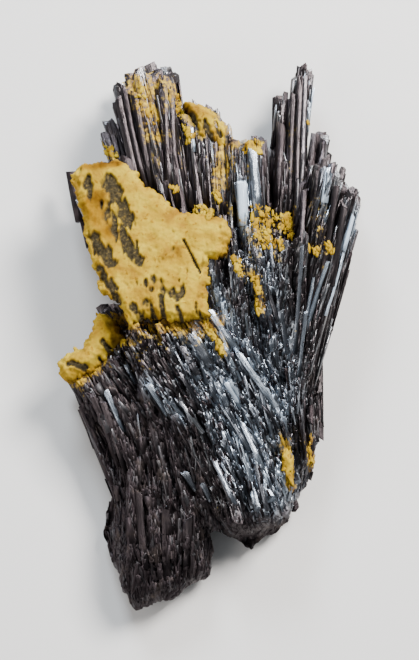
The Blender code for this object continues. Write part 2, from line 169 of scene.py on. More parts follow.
# Where the crusts lie over the crystals: the outline as seen, the height, and which way each one leans.
Cover = namedtuple("Cover", "outline height lean")
COVERS = {
    "ochre_crust_plateau": Cover([
        (-20.6, 24.8), (-19.2, 26.6), (-14.1, 27.4), (-12, 27), (-8.6, 23.2), (-4.4, 19.4), (2.6, 18.6),
        (4.5, 16), (2.6, 12.4), (0.8, 11.6), (0.1, 7.6), (0.8, 3), (-3, 2.2), (-8.6, 2.8),
        (-11.5, 1.6), (-13.6, 5.4), (-16, 6.6), (-18.1, 14.1), (-20, 21.5)], 18.8, (-0.10, 0.02)),
    "ochre_crust_left_arm": Cover([
        (-16.8, 3), (-14.4, 3), (-12.8, 0), (-14.4, -2.8), (-17.6, -6), (-21.2, -7.2),
        (-23, -4.9), (-21.8, -3.1), (-18.9, -2.2), (-17.4, 0.6)], 11.8, (-0.22, 0.10)),
    "ochre_crust_upper_rim": Cover([
        (-3.6, 36.6), (-0.2, 35.6), (1.8, 34.4), (3.4, 31.9), (3.1, 29.4), (1, 29), (-0.7, 31),
        (-2.6, 33.2)], 13.4, (0.05, 0.06)),
}

# The lowest a blade's axis may lie, how much longer than their axes the blades are, and their ends' tapers.
LOWEST_AXIS = 0.4
OVERLENGTH = 0.06
ROOT_TAPER = 0.6
TIP_TAPER = 0.82


def blades_of(bundle, draw):
    """The coarse blades of a bundle, the same ones as in the solid."""
    root, tip = Vector(bundle.root), Vector(bundle.tip)
    along = Vector((tip.x - root.x, tip.y - root.y, 0)).normalized()
    aside = Vector((along.y, -along.x, 0))
    if aside.x < 0:
        aside.negate()
    across, layers = bundle.grid
    slant, bow, stagger = bundle.ends
    for layer in range(layers):
        deep = 2 * (layer + 0.5) / layers - 1
        reach = math.sqrt(1 - 0.6 * deep * deep)
        for place in range(across):
            side = 2 * (place + 0.5 + 0.25 * (layer % 2)) / (across + 0.25) - 1
            side = reach * side + draw.uniform(-0.12, 0.12)
            ends = []
            for centre, which in ((root, 0), (tip, 1)):
                spot = centre + aside * side * bundle.half_width[which]
                spot.z = centre.z + deep * bundle.half_depth[which] + draw.uniform(-0.5, 0.5)
                ends.append(spot)
            ends[1] += along * (slant / 2 * side + bow * (1 - side * side) - draw.random() * stagger * 2)
            low, high = (seen(p.x, p.y, max(p.z, LOWEST_AXIS)) for p in ends)
            width = bundle.blade[0] * draw.uniform(0.85, 1.2)
            thickness = bundle.blade[1] * draw.uniform(0.85, 1.2)
            yield Blade(bundle.name, low, high, width, thickness, draw.uniform(-50, 50), draw.uniform(20, 50))


def plane_of(cover):
    """A crust's own plane: its middle, its axes, and its outline in that plane."""
    outline = np.array(cover.outline)
    middle = seen(*outline.mean(0), cover.height)
    normal = Vector((*cover.lean, 1)).normalized()
    turn = np.array(Vector((0, 0, 1)).rotation_difference(normal).to_matrix())
    rays = sight(*outline.T)
    shares = ((middle - EYE) @ turn[:, 2]) / (rays @ turn[:, 2])
    return middle, turn, ((EYE + rays * shares[:, None] - middle) @ turn)[:, :2]


# How far above a crust's plane the crystals under it may reach.
CRUST_BED = 0.7


def kept_below(points):
    """The points, those under a crust moved down so that they don't come up through it."""
    right, up = as_seen(points)
    for cover in COVERS.values():
        middle, turn, _ = plane_of(cover)
        deep = inside_by(np.stack((right, up), 1), np.array(cover.outline))
        above = (points - middle) @ turn[:, 2] - CRUST_BED
        points[:, 2] -= np.where(deep > 0, np.maximum(above, 0), 0) * smooth(deep, -0.1, 0.5)
    return points


layout = random.Random(18)
coarse = [blade for bundle in BUNDLES for blade in blades_of(bundle, layout)]


def axes_of(roots, tips, rolls):
    """Each blade's own axes: across its width, through its thickness, and along it."""
    along = tips - roots
    lengths = np.linalg.norm(along, axis=1)
    along = along / lengths[:, None]
    up = np.tile((0.0, 0.0, 1.0), (len(roots), 1))
    through = up - (up * along).sum(1)[:, None] * along
    through /= np.linalg.norm(through, axis=1)[:, None]
    across = np.cross(through, along)
    turn, lean = np.cos(rolls)[:, None], np.sin(rolls)[:, None]
    return across * turn + through * lean, through * turn - across * lean, along, lengths


# How far a blade's middle bows out for its length, and how high a pointed end is for its width.
BOW = 0.006
POINT_HEIGHT = 0.45
# Many prisms: their points, quads and caps, and each point's blade and place in it.
Prisms = namedtuple("Prisms", "points quads caps blade local")


def prisms(roots, tips, widths, depths, rolls, tapers, points, leans, outline, rings, rng):
    """Prisms between roots and tips, with pointed ends or ends that lean, and sides that taper and bow."""
    count, sides = len(roots), outline.shape[1]
    across, through, along, lengths = axes_of(roots, tips, rolls)
    angle = 2 * np.pi * np.arange(sides) / sides + np.pi / 2
    x = widths[:, None] * outline * np.cos(angle)
    y = depths[:, None] * outline * np.sin(angle)
    turn = rng.uniform(0, 2 * np.pi, count)
    slope = leans[:, None] * (x * np.cos(turn)[:, None] + y * np.sin(turn)[:, None])
    head = POINT_HEIGHT * np.minimum(widths, depths) * points
    bend = rng.normal(0, BOW, (count, 2)) * lengths[:, None]
    placed, local = [], []
    for ring in range(rings):
        share = ring / (rings - 2) if ring < rings - 1 else 1.0
        scale = tapers[:, 0] + (tapers[:, 1] - tapers[:, 0]) * share
        z = np.repeat((share * (lengths - head))[:, None], sides, 1)
        if ring >= rings - 2:
            z = z + slope
        if ring == rings - 1:
            scale = scale * (1 - 0.6 * points)
            z = z + head[:, None] - 0.5 * slope * points[:, None]
        sag = 4 * share * (1 - share)
        px = x * scale[:, None] + (bend[:, 0] * sag)[:, None]
        py = y * scale[:, None] + (bend[:, 1] * sag)[:, None]
        placed.append(
            roots[:, None]
            + px[..., None] * across[:, None]
            + py[..., None] * through[:, None]
            + z[..., None] * along[:, None]
        )
        local.append(np.stack((px, py, z), -1))
    placed, local = np.stack(placed, 1), np.stack(local, 1)
    number = np.arange(count * rings * sides).reshape(count, rings, sides)
    ahead = np.roll(number, -1, 2)
    quads = np.stack((number[:, :-1], ahead[:, :-1], ahead[:, 1:], number[:, 1:]), -1).reshape(-1, 4)
    caps = np.concatenate((number[:, 0, ::-1], number[:, -1]))
    blade = np.repeat(np.arange(count), rings * sides)
    return Prisms(placed.reshape(-1, 3), quads, caps, blade, local.reshape(-1, 3))


def mesh_of(name, points, groups, features):
    """An object from layout points, groups of faces of one size each, and named values at each point."""
    mesh = bpy.data.meshes.new(name)
    loops = np.concatenate([group.ravel() for group in groups])
    sizes = np.concatenate([np.full(len(group), group.shape[1]) for group in groups])
    mesh.vertices.add(len(points))
    mesh.vertices.foreach_set("co", ((points + SHIFT) * MM).astype(np.float32).ravel())
    mesh.loops.add(len(loops))
    mesh.loops.foreach_set("vertex_index", loops.astype(np.int32))
    mesh.polygons.add(len(sizes))
    mesh.polygons.foreach_set("loop_start", np.concatenate(((0,), np.cumsum(sizes)[:-1])).astype(np.int32))
    mesh.update(calc_edges=True)
    mesh.validate()
    for key, values in features.items():
        kind = "FLOAT_VECTOR" if values.ndim == 2 else "FLOAT"
        layer = mesh.attributes.new(key, kind, "POINT")
        layer.data.foreach_set("vector" if values.ndim == 2 else "value", values.astype(np.float32).ravel())
    made = bpy.data.objects.new(name, mesh)
    bpy.context.scene.collection.objects.link(made)
    return made


# Where the crystals are dulled by tarnish with painted shade, where they are fresh with painted highlights,
# and where ochre stains them, each as strokes over the face that is looked down on: (start, end, radius,
# strength).
DULL_AND_PAINTED_SHADE = [
    ((-20, -6), (-9, -24), 6.5, 0.75), ((-12, -22), (-8, -40), 8, 0.95), ((-2, -30), (-3, -40), 5, 0.85),
    ((-9, -8), (-3, -24), 3.6, 0.8), ((-11, 33), (-6, 24), 6, 0.55), ((9, 27), (14, 20), 5, 0.5),
    ((3, -31), (13, -30), 3.4, 0.9), ((16, -8), (17, -20), 2.4, 0.5),
]
FRESH_AND_PAINTED_HIGHLIGHT = [
    ((0, -2), (10, -23), 5.6, 0.7), ((5.5, 24), (6.2, 16), 1.6, 1), ((0.5, 9), (12, -12), 1.4, 0.9),
    ((17, 39.5), (16.3, 32), 0.8, 1), ((18.8, 26), (18.6, 20), 1.2, 0.8),
    ((23.2, 19), (21.6, 13.5), 0.9, 0.9), ((-9, -7), (-4, -12), 1.5, 0.7), ((8, 12), (12, -10), 4, 0.45),
]
STAIN = [
    ((-11, 40), (-8, 32), 2.2, 0.75), ((-8.5, 40.5), (-4.5, 38.5), 2, 0.55),
    ((-7, 33), (-4, 29), 1.6, 0.35), ((-3, 36), (4, 31), 2.6, 0.7), ((1.6, 27), (2.6, 21), 1.8, 0.75),
    ((4.6, 20), (10, 13), 2.2, 0.5), ((8, 19.5), (13.5, 17), 1.8, 0.5),
    ((3.4, 14.5), (6.5, 9.5), 1.6, 0.45), ((7.6, 9.4), (8.8, 4.6), 1, 0.8),
    ((16.8, 20.8), (18.4, 13.8), 1.4, 0.5), ((6.2, 31), (8.4, 29.4), 1.2, 0.8),
    ((-0.4, 3.6), (2.8, -2.8), 0.9, 0.9), ((-14, 2.6), (1.6, 2.4), 2.2, 0.85),
    ((-13, 0), (-2, 0), 2.4, 0.48), ((-12, -2.6), (-9, -5), 1.6, 0.3), ((-20, -6), (-14, 1), 2.6, 0.8),
    ((12.4, -17), (13.4, -23.4), 1.1, 0.9), ((16.2, -16), (16.6, -20.6), 1, 0.8),
    ((16.6, 34), (17, 32.8), 0.9, 1), ((-16.6, 30), (-14.6, 27.6), 1.5, 0.6),
    ((13.4, 33), (14.4, 26), 1.4, 0.4),
]


def crystal_features(points, blade, local, tones):
    """What the crystals' material reads at each point."""
    right, up = as_seen(points)
    return {
        "tone": tones[blade],
        "grain": local * (1, 1, 0.05) + tones[blade][:, None] * (37, 61, 83),
        # The dull strokes carry painted shade as well as tarnish, and the fresh strokes carry painted
        # highlights as well as fresh lustre.
        "dull_and_shade": touched(right, up, DULL_AND_PAINTED_SHADE),
        "fresh_and_highlight": touched(right, up, FRESH_AND_PAINTED_HIGHLIGHT),
        "stain": touched(right, up, STAIN) * smooth(points[:, 2], 3, 9),
    }


def joined(lots):
    """Several lots of prisms as one. The caps stay a list, as they differ in how many corners they have."""
    first_points = np.cumsum([0] + [len(lot.points) for lot in lots])
    first_blades = np.cumsum([0] + [lot.blade.max() + 1 for lot in lots])
    return Prisms(
        np.concatenate([lot.points for lot in lots]),
        np.concatenate([lot.quads + first for lot, first in zip(lots, first_points)]),
        [lot.caps + first for lot, first in zip(lots, first_points)],
        np.concatenate([lot.blade + first for lot, first in zip(lots, first_blades)]),
        np.concatenate([lot.local for lot in lots]),
    )


def pentagon(sides):
    """The coarse blade's five-sided outline, as a radius at each of many sides."""
    angle = 2 * np.pi * np.arange(sides) / sides
    wedge = 2 * np.pi / 5
    return 0.5 * math.cos(wedge / 2) / np.cos(angle % wedge - wedge / 2)


def grooved_blades(blades, rng, sides, rings, groove, size=1.0):
    """Blades with five faces and grooves along them."""
    count = len(blades)
    roots, tips = np.array([b.root for b in blades]), np.array([b.tip for b in blades])
    widths, depths = np.array([b.width for b in blades]), np.array([b.thickness for b in blades])
    tips = tips + (tips - roots) * OVERLENGTH * 0.5
    rolls = np.radians([b.roll for b in blades])
    outline = pentagon(sides)[None] * rng.uniform(1 - groove, 1.0, (count, sides)) * size
    tapers = np.tile((ROOT_TAPER, TIP_TAPER), (count, 1))
    leans = np.tan(np.radians([b.end_tilt for b in blades])) * 0.8
    points = (rng.random(count) < 0.25) * rng.uniform(0.2, 0.8, count)
    return prisms(roots, tips, widths, depths, rolls, tapers, points, leans, outline, rings, rng)


# How a bundle is split into the crystals it is really made of: how many for each coarse blade, across and
# in depth, how far they stray from its line, how many are broken off, how long those are, and how much of
# the bundle's width and length they fill.
Split = namedtuple("Split", "times stray broken share fill", defaults=(0.94,))


def crystals_of(bundle, split, draw):
    """The same bundle as more and thinner crystals, some of them broken short."""
    across, layers = (max(3, round(number * split.times)) for number in bundle.grid)
    thinner = 1.45 / split.times
    finer = bundle._replace(
        grid=(across, layers),
        blade=(bundle.blade[0] * thinner, bundle.blade[1] * thinner),
        half_width=tuple(width * split.fill for width in bundle.half_width),
        half_depth=tuple(max(depth, 0.9) for depth in bundle.half_depth),
    )
    for blade in blades_of(finer, draw):
        root, tip = np.array(blade.root), np.array(blade.tip)
        length = np.linalg.norm(tip - root)
        tip = root + (tip - root) * min(1, split.fill + 0.06)
        tip = tip + np.array([draw.gauss(0, split.stray) for _ in range(3)]) * length * (1, 1, 0.5)
        if draw.random() < split.broken:
            share = draw.uniform(*split.share)
            low = draw.uniform(0, 1 - share)
            root, tip = root + (tip - root) * low, root + (tip - root) * (low + share)
        elif draw.random() < 0.5:
            root = root + (tip - root) * draw.uniform(0, 0.3)
        wider = draw.uniform(0.6, 1.5)
        yield blade._replace(root=root, tip=tip, width=blade.width * wider)


# A coat of laths: how many on every COATED square mm of a blade's sides, their width, depth and length, how
# far they stray from the blade's line, and how many of them reach its tip.
COATED = 60
Coat = namedtuple("Coat", "count width depth length stray reach")


def laths(blades, coat, rng, sides=6, rings=4):
    """Flat thin crystals that lie along the coarse ones, each from its own start to its own end."""
    base = np.array([b.root for b in blades]), np.array([b.tip for b in blades])
    across, through, along, lengths = axes_of(*base, np.radians([b.roll for b in blades]))
    roots, tips, rolls = [], [], []
    for number, b in enumerate(blades):
        n = max(2, int(coat.count * lengths[number] * (b.width + b.thickness) / COATED))
        angle = rng.uniform(0, 2 * np.pi, n)
        span = rng.uniform(*coat.length, n) / lengths[number]
        low = rng.uniform(-0.05, 1, n) * (1 - span)
        at_tip = rng.random(n) < coat.reach
        low = np.where(at_tip, 1 - span + rng.uniform(-0.03, 0.02, n), low)
        low = np.maximum(low, -0.04)
        for ends, share, turn in ((roots, low, 0), (tips, low + span, rng.normal(0, coat.stray * 4, n))):
            scale = (ROOT_TAPER + (TIP_TAPER - ROOT_TAPER) * share) * rng.uniform(0.86, 0.98, n)
            ends.append(
                b.root
                + (0.5 * b.width * np.cos(angle + turn) * scale)[:, None] * across[number]
                + (0.5 * b.thickness * np.sin(angle + turn) * scale)[:, None] * through[number]
                + (share * lengths[number])[:, None] * along[number]
            )
        rolls.append(math.radians(b.roll) + angle + math.pi / 2 + rng.normal(0, 0.25, n))
    roots, tips, rolls = np.concatenate(roots), np.concatenate(tips), np.concatenate(rolls)
    count = len(roots)
    widths = rng.uniform(*coat.width, count)
    depths = rng.uniform(*coat.depth, count) * widths
    outline = 0.5 * rng.uniform(0.8, 1.1, (count, sides))
    tapers = np.stack((rng.uniform(0.6, 1.0, count), rng.uniform(0.75, 1.0, count)), 1)
    points = (rng.random(count) < 0.3) * rng.uniform(0.3, 1.0, count)
    leans = np.tan(rng.uniform(0, 0.9, count))
    return prisms(roots, tips, widths, depths, rolls, tapers, points, leans, outline, rings, rng)


class Recipe:
    """A new material, and the kinds of node that its look is made from."""

    def __init__(self, name):
        self.material = bpy.data.materials.new(name)
        self.material.use_nodes = True
        self.tree = self.material.node_tree
        self.where = self.add("ShaderNodeTexCoord").outputs["Object"]

    def put(self, node, terms):
        """Puts numbers, colours or other nodes' outputs into a node's sockets."""
        for socket, term in terms.items():
            if isinstance(term, bpy.types.NodeSocket):
                self.tree.links.new(term, node.inputs[socket])
            else:
                node.inputs[socket].default_value = term

    def add(self, kind, terms=None, **values):
        """A new node with those values, and with the terms in its sockets."""
        node = self.tree.nodes.new(kind)
        for key, value in values.items():
            setattr(node, key, value)
        self.put(node, terms or {})
        return node

    def feature(self, key, output="Fac"):
        return self.add("ShaderNodeAttribute", attribute_name=key).outputs[output]

    def clouds(self, vector, scale, detail):
        terms = {"Vector": vector, "Scale": scale, "Detail": detail}
        return self.add("ShaderNodeTexNoise", terms).outputs["Fac"]

    def number(self, operation, *terms):
        return self.add("ShaderNodeMath", dict(enumerate(terms)), operation=operation).outputs["Value"]

    def total(self, start, *terms):
        """A number with (value, times) pairs added to it."""
        for value, times in terms:
            start = self.number("MULTIPLY_ADD", value, times, start)
        return start

    def ramp(self, source, *stops):
        """A colour that changes with a value, from stops of (value, red, green, blue)."""
        node = self.add("ShaderNodeValToRGB", {"Fac": source})
        while len(node.color_ramp.elements) < len(stops):
            node.color_ramp.elements.new(0.5)
        for element, (place, *colour) in zip(node.color_ramp.elements, stops):
            element.position = place
            element.color = (*colour, 1)
        return node.outputs["Color"]

    def step(self, source, low, high, top=1):
        """Grey that rises from nothing at low to top at high."""
        return self.ramp(source, (low, 0, 0, 0), (high, top, top, top))

    def blend(self, share, first, second):
        return self.add("ShaderNodeMix", {"Factor": share, 6: first, 7: second}, data_type="RGBA").outputs[2]

    def finished(self, relief, strength, distance, terms):
        """The material, with bumps from the relief and the terms on its shader."""
        bump = self.add("ShaderNodeBump", {"Strength": strength, "Distance": distance, "Height": relief})
        self.put(self.tree.nodes["Principled BSDF"], {**terms, "Normal": bump.outputs["Normal"]})
        return self.material


def stibnite_material(name):
    """Metallic grey, darker where it has dulled and where shade is painted in, paler and bluer where
    highlights are painted in, with fine grooves along each blade and ochre in places.
    """
    made = Recipe(name)
    grain = made.feature("grain", "Vector")
    fresh_and_highlight = made.feature("fresh_and_highlight")
    tone = made.feature("tone")
    stripes = made.clouds(grain, 5.5, 2)
    fine_stripes = made.clouds(grain, 16, 1)
    patches = made.clouds(made.where, 420, 4)
    specks = made.clouds(made.where, 1900, 2)
    # Tarnish with painted shade: darker and rougher where the dull strokes and patches lie, less so under the
    # painted highlights.
    dull_and_shade = made.total(-0.55, (made.feature("dull_and_shade"), 1), (patches, 1.1), (fresh_and_highlight, -0.8))
    dull_and_shade = made.number("MINIMUM", made.number("MAXIMUM", dull_and_shade, 0), 1)
    painted_highlight = made.number("MULTIPLY", fresh_and_highlight, tone)
    metal = made.ramp(tone, (0, 0.032, 0.024, 0.026), (0.6, 0.105, 0.092, 0.096), (1, 0.34, 0.35, 0.37))
    metal = made.blend(made.number("MULTIPLY", stripes, 0.6), metal, (0.022, 0.019, 0.021, 1))
    # Painted highlight: a pale bluish grey where fresh faces with a high tone lie.
    metal = made.blend(painted_highlight, metal, (0.55, 0.66, 0.79, 1))
    tarnish_and_shade = made.ramp(
        patches, (0.3, 0.020, 0.014, 0.016), (0.55, 0.046, 0.036, 0.040), (0.75, 0.085, 0.066, 0.058))
    colour = made.blend(made.number("MULTIPLY", dull_and_shade, 0.85), metal, tarnish_and_shade)
    edge = made.total(-1.2, (made.feature("stain"), 1), (patches, 1.5), (specks, 0.9))
    stained = made.step(edge, 0.46, 0.74)
    rust = made.ramp(specks, (0.3, 0.040, 0.020, 0.005), (0.5, 0.16, 0.075, 0.006), (0.7, 0.34, 0.17, 0.012))
    powder = made.ramp(specks, (0.3, 0.16, 0.075, 0.006), (0.5, 0.40, 0.24, 0.010), (0.7, 0.60, 0.41, 0.04))
    ochre = made.blend(made.step(patches, 0.42, 0.54), rust, powder)
    # Painted highlight: the brightest faces are a little less metallic, so that they stay pale when the room
    # is dark.
    glare = made.number("MAXIMUM", made.total(-0.85, (painted_highlight, 1.6)), 0)
    metallic = made.number("MULTIPLY", made.total(1, (stained, -1)), made.total(0.97, (glare, -1)))
    relief = made.total(0, (stripes, 0.7), (fine_stripes, 0.4), (made.number("MULTIPLY", specks, dull_and_shade), 0.5))
    return made.finished(relief, 0.75, 0.00012, {
        "Base Color": made.blend(stained, colour, ochre),
        "Metallic": metallic,
        "Roughness": made.total(0.20, (dull_and_shade, 0.30), (fine_stripes, 0.16), (stained, 0.45)),
    })


stibnite = stibnite_material("stibnite")
rng = np.random.default_rng(41)
# The height at which the spray was broken off flat, how uneven that is, and all faces made so far.
FLOOR = 2.5
UNEVEN = 0.35
crystal_faces = []


def crystal_piece(name, lots, painted_light_tones=None):
    """Makes a piece of crystals from lots of prisms, trimmed where the spray was broken off flat below."""
    points, quads, caps, blade, local = joined(lots)
    tones = rng.random(blade.max() + 1) ** 1.4 if painted_light_tones is None else np.array(painted_light_tones)
    points[:, 2] = np.maximum(points[:, 2], FLOOR + UNEVEN * rng.random(len(tones))[blade])
    points = kept_below(points)
    features = crystal_features(points, blade, local, tones)
    # Listed tones paint light into the colour: high ones as a painted highlight, low ones as a darker, duller
    # blade.
    if painted_light_tones is not None:
        features["fresh_and_highlight"] = smooth(tones[blade], 0.3, 0.9)
        features["dull_and_shade"] = np.maximum(0.45 - tones[blade], 0)
        features["stain"] = features["stain"] * 0.85
    piece = mesh_of(name, points, [quads, *caps], features)
    piece.data.materials.append(stibnite)
    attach(piece, "root")
    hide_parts("stibnite_crystals")
    crystal_faces.append((points, quads))


# Bundles that fill more than this share of their width keep their coarse blades as cores.
CORED = 0.88


def spray_piece(name, splits, coat, seed):
    """The crystals of some bundles: their cores, what each is split into, and laths on the split ones."""
    draw = random.Random(seed)
    cores = []
    fine = []
    for bundle in BUNDLES:
        if bundle.name in splits:
            if splits[bundle.name].fill > CORED:
                cores += [blade for blade in coarse if blade.name == bundle.name]
            fine += crystals_of(bundle, splits[bundle.name], draw)
    lots = [grooved_blades(fine, rng, sides=10, rings=6, groove=0.16), laths(fine, coat, rng)]
    if cores:
        lots.append(grooved_blades(cores, rng, sides=10, rings=5, groove=0.1, size=0.74))
    crystal_piece(name, lots)


spray_piece("upper_crystals", {
    "upper_left_blades": Split(1.7, 0.012, 0.15, (0.5, 0.9)),
    "upper_left_step": Split(1.7, 0.015, 0.2, (0.5, 0.9)),
    "upper_middle_blades": Split(2, 0.015, 0.3, (0.4, 0.9)),
    "middle_prisms": Split(1.6, 0.01, 0.3, (0.4, 0.9)),
    "tall_blade": Split(1.5, 0.004, 0.2, (0.5, 0.9), 0.9),
    "tall_blade_step": Split(1.5, 0.006, 0.2, (0.5, 0.9)),
    "tall_blade_stub": Split(1.6, 0.01, 0.2, (0.5, 0.9)),
    "recess_blades": Split(1.8, 0.02, 0.4, (0.3, 0.8)),
}, Coat(4, (0.3, 0.8), (0.3, 0.6), (3, 14), 0.03, 0.3), 51)

# The fan on the right.
# Slender blades of the same spray that spread towards the right and end in an arc of blunt tips. They grew
# together with the others at the foot.
spray_piece("right_fan_crystals", {
    "right_fan": Split(2.6, 0.015, 0.35, (0.3, 0.9)),
    "right_edge": Split(2, 0.01, 0.3, (0.4, 0.9)),
    "right_flank": Split(2.2, 0.02, 0.4, (0.3, 0.8), 0.7),
    "centre_fan": Split(3, 0.03, 0.7, (0.12, 0.5)),
}, Coat(4, (0.2, 0.6), (0.4, 0.8), (2, 9), 0.05, 0.2), 52)

# The crystals in the middle, under and below the main crust.
# The same metallic blades, running down to the right in steps. They are the freshest ones, where the spray
# broke open, and highlights are painted into their colour there.
spray_piece("middle_crystals", {
    "plateau_blades": Split(1.6, 0.015, 0.2, (0.4, 0.9)),
    "plateau_right": Split(2.2, 0.02, 0.4, (0.3, 0.8)),
    "notch_blades": Split(2, 0.02, 0.3, (0.4, 0.9)),
    "middle_face": Split(3.6, 0.04, 0.85, (0.08, 0.35)),
    "lower_left_face": Split(3, 0.04, 0.8, (0.1, 0.4)),
}, Coat(4, (0.2, 0.5), (0.4, 0.8), (1.5, 6), 0.06, 0.1), 53)

# The crystals at the foot and on the left.
# Dull dark blades of the same mineral, matted together, that were broken off where the spray grew from the
# rock. Their darkness is partly tarnish and partly painted shade.
spray_piece("lower_crystals", {
    "left_fan": Split(2, 0.015, 0.3, (0.3, 0.9), 0.86),
    "left_flank": Split(2, 0.012, 0.2, (0.4, 0.9), 0.8),
    "lower_right": Split(2.6, 0.03, 0.6, (0.2, 0.6), 0.78),
    "foot": Split(2.6, 0.02, 0.5, (0.2, 0.7), 0.74),
}, Coat(3, (0.25, 0.7), (0.4, 0.8), (2, 9), 0.05, 0.15), 54)

# The broken mass that the blades grow out of.
# Matted crystals, too fine to tell apart, fill the middle, the foot and the left side. Their top is set by
# the solid, smoothed, with ribs and fibres that follow the way the crystals run.
MASS_OUTLINE = [
    (-20.7, -6.6), (-19.5, -9.7), (-17.6, -13.4), (-16.7, -15.9), (-16.5, -18.4), (-15.5, -20),
    (-14.4, -22.1), (-14.4, -24.8), (-15.5, -27.1), (-15.6, -29.9), (-15, -33.3), (-13.8, -36.4),
    (-12.8, -39.5), (-11.4, -41.6), (-10.6, -42.5), (-9.7, -41.6), (-7.4, -41.1), (-5.1, -40.5),
    (-3, -38.8), (-0.4, -37.8), (0.9, -36.8), (0.9, -33.3), (0.7, -30.2), (1.8, -29.4), (3.2, -30.5),
    (5.2, -31.8), (7.2, -33.2), (8.8, -31.3), (11.4, -30.1), (12.8, -28.5), (13.9, -25.1), (15.8, -22.9),
    (17, -20.3), (17.2, -15.9), (17.3, -9.7), (17.2, -5.1), (16.5, -1.9), (15.6, 2.7), (15, 8.9),
    (14.7, 14.4), (12.4, 18.6), (8.8, 20.1), (5.4, 19), (3, 11.7), (-0.1, 8.2), (-2.4, 5.1), (-8.6, 3.5),
    (-12.5, 3), (-15.6, 0.4), (-17.9, -2.7), (-20.7, -4.7),
]
# The grid's cell, the height of the mass where there is no solid, over how many cells the solid is smoothed,
# how wide a rib is in cells, how far from its edge the mass is rounded off, and how high its relief is.
MASS_CELL = 0.2
MASS_OFF_SOLID = 4.0
MASS_BLUR = 5
RIB_CELLS = 3
MASS_ROUND = 2.6
RIB_HEIGHT = 0.26
THREAD_HEIGHT = 0.16
SWELL_HEIGHT = 0.9
HIGHEST_RELIEF = 1.4
# Which way the crystals run, as degrees from the right-hand side, at places on the face looked down on.
RUNS = [
    ((-10, -36), 96), ((-3, -36), 86), ((-17, -12), 114), ((-12, -6), 124), ((-7, -10), 128),
    ((-9, -19), 96), ((-4, -20), 104), ((0, -4), 120), ((5, -8), 119), ((2, -20), 116), ((6, -16), 117),
    ((8, -26), 108), ((12, -20), 100), ((8, 5), 97), ((7, 14), 91), ((13, 6), 84), ((18, 6), 74),
    ((20, -2), 76), ((16, -18), 89), ((-10, -1), 120), ((-16, -5), 118), ((-11, 28), 104), ((1, 26), 93),
    ((13, 30), 86), ((20, 20), 72),
]


def run_of(right, up):
    """How far right and up the crystals run at each place, for one unit of length."""
    places = np.array([place for place, _ in RUNS])
    turns = np.radians([turn for _, turn in RUNS])
    gaps = (right[..., None] - places[:, 0]) ** 2 + (up[..., None] - places[:, 1]) ** 2
    weights = 1 / (gaps + 3) ** 2
    across, along = (weights * np.cos(turns)).sum(-1), (weights * np.sin(turns)).sum(-1)
    size = np.hypot(across, along)
    return across / size, along / size


def fibres(field, run_right, run_up, reach):
    """A field of random values drawn out along the crystals, that many cells each way."""
    total = field.copy()
    for sign in (1, -1):
        i, j = np.indices(field.shape).astype(float)
        for _ in range(reach):
            row, column = (np.clip(np.rint(n).astype(int), 0, top - 1) for n, top in zip((i, j), field.shape))
            i, j = i + sign * run_right[row, column], j + sign * run_up[row, column]
            row, column = (np.clip(np.rint(n).astype(int), 0, top - 1) for n, top in zip((i, j), field.shape))
            total += field[row, column]
    return (total - total.mean()) / total.std()


def blurred(field, radius):
    """The field with each value averaged over its surroundings."""
    weights = np.exp(-0.5 * (np.arange(-3 * radius, 3 * radius + 1) / radius) ** 2)
    weights /= weights.sum()
    for axis in (0, 1):
        wide = np.pad(field, [(3 * radius,) * 2 if k == axis else (0, 0) for k in (0, 1)], mode="edge")
        field = np.apply_along_axis(np.convolve, axis, wide, weights, "valid")
    return field


def fractal(points, size, octaves, seed):
    """Smooth noise from -1 to 1 at each point, with its coarsest lumps as far apart as size."""
    shift = Vector((seed * 17.3, seed * 5.1, seed * 9.7))
    return np.array([noise.fractal(Vector(p) / size + shift, 1.0, 2.0, octaves) for p in points])


def rim_of(cells):
    """The edges that only one of the cells has, each with that cell on its left."""
    edges = {}
    for a, b in np.concatenate([cells[:, [k, (k + 1) % 4]] for k in range(4)]).tolist():
        if (b, a) in edges:
            del edges[(b, a)]
        else:
            edges[(a, b)] = True
    return np.array(list(edges))


def grid_over(corners, cell, margin):
    """A square grid over an outline: its points, and its shape."""
    low, high = corners.min(0) - margin, corners.max(0) + margin
    shape = tuple((np.ceil((high - low) / cell)).astype(int) + 1)
    axes = (low[k] + cell * np.arange(shape[k]) for k in (0, 1))
    return np.stack(np.meshgrid(*axes, indexing="ij"), -1).reshape(-1, 2), shape


def raised(spots, height):
    """Points over the spots of a grid, all at one height or each at its own."""
    return np.column_stack((spots, np.broadcast_to(height, len(spots))))


def trimmed_grid(spots, shape, depth, cell):
    """The grid's cells inside an outline, with the points next to it drawn onto it."""
    slope = np.stack(np.gradient(depth.reshape(shape), cell), -1).reshape(-1, 2)
    slope /= np.maximum((slope**2).sum(1), 0.3)[:, None]
    spots = np.where((depth < 1.2 * cell)[:, None], spots - slope * depth[:, None], spots)
    number = np.arange(len(spots)).reshape(shape)
    cells = np.stack((number[:-1, :-1], number[1:, :-1], number[1:, 1:], number[:-1, 1:]), -1).reshape(-1, 4)
    return spots, cells[(depth > 0)[cells].sum(1) >= 3]


def closed_between(upper, lower, cells):
    """Points and faces of the solid between two layers of the same grid, and which points it uses."""
    rim = rim_of(cells)
    wall = np.column_stack((rim[:, 1], rim[:, 0], rim[:, 0] + len(upper), rim[:, 1] + len(upper)))
    faces = np.concatenate((cells, cells[:, ::-1] + len(upper), wall))
    used, faces = np.unique(faces, return_inverse=True)
    return np.concatenate((upper, lower))[used], faces.reshape(-1, 4), used


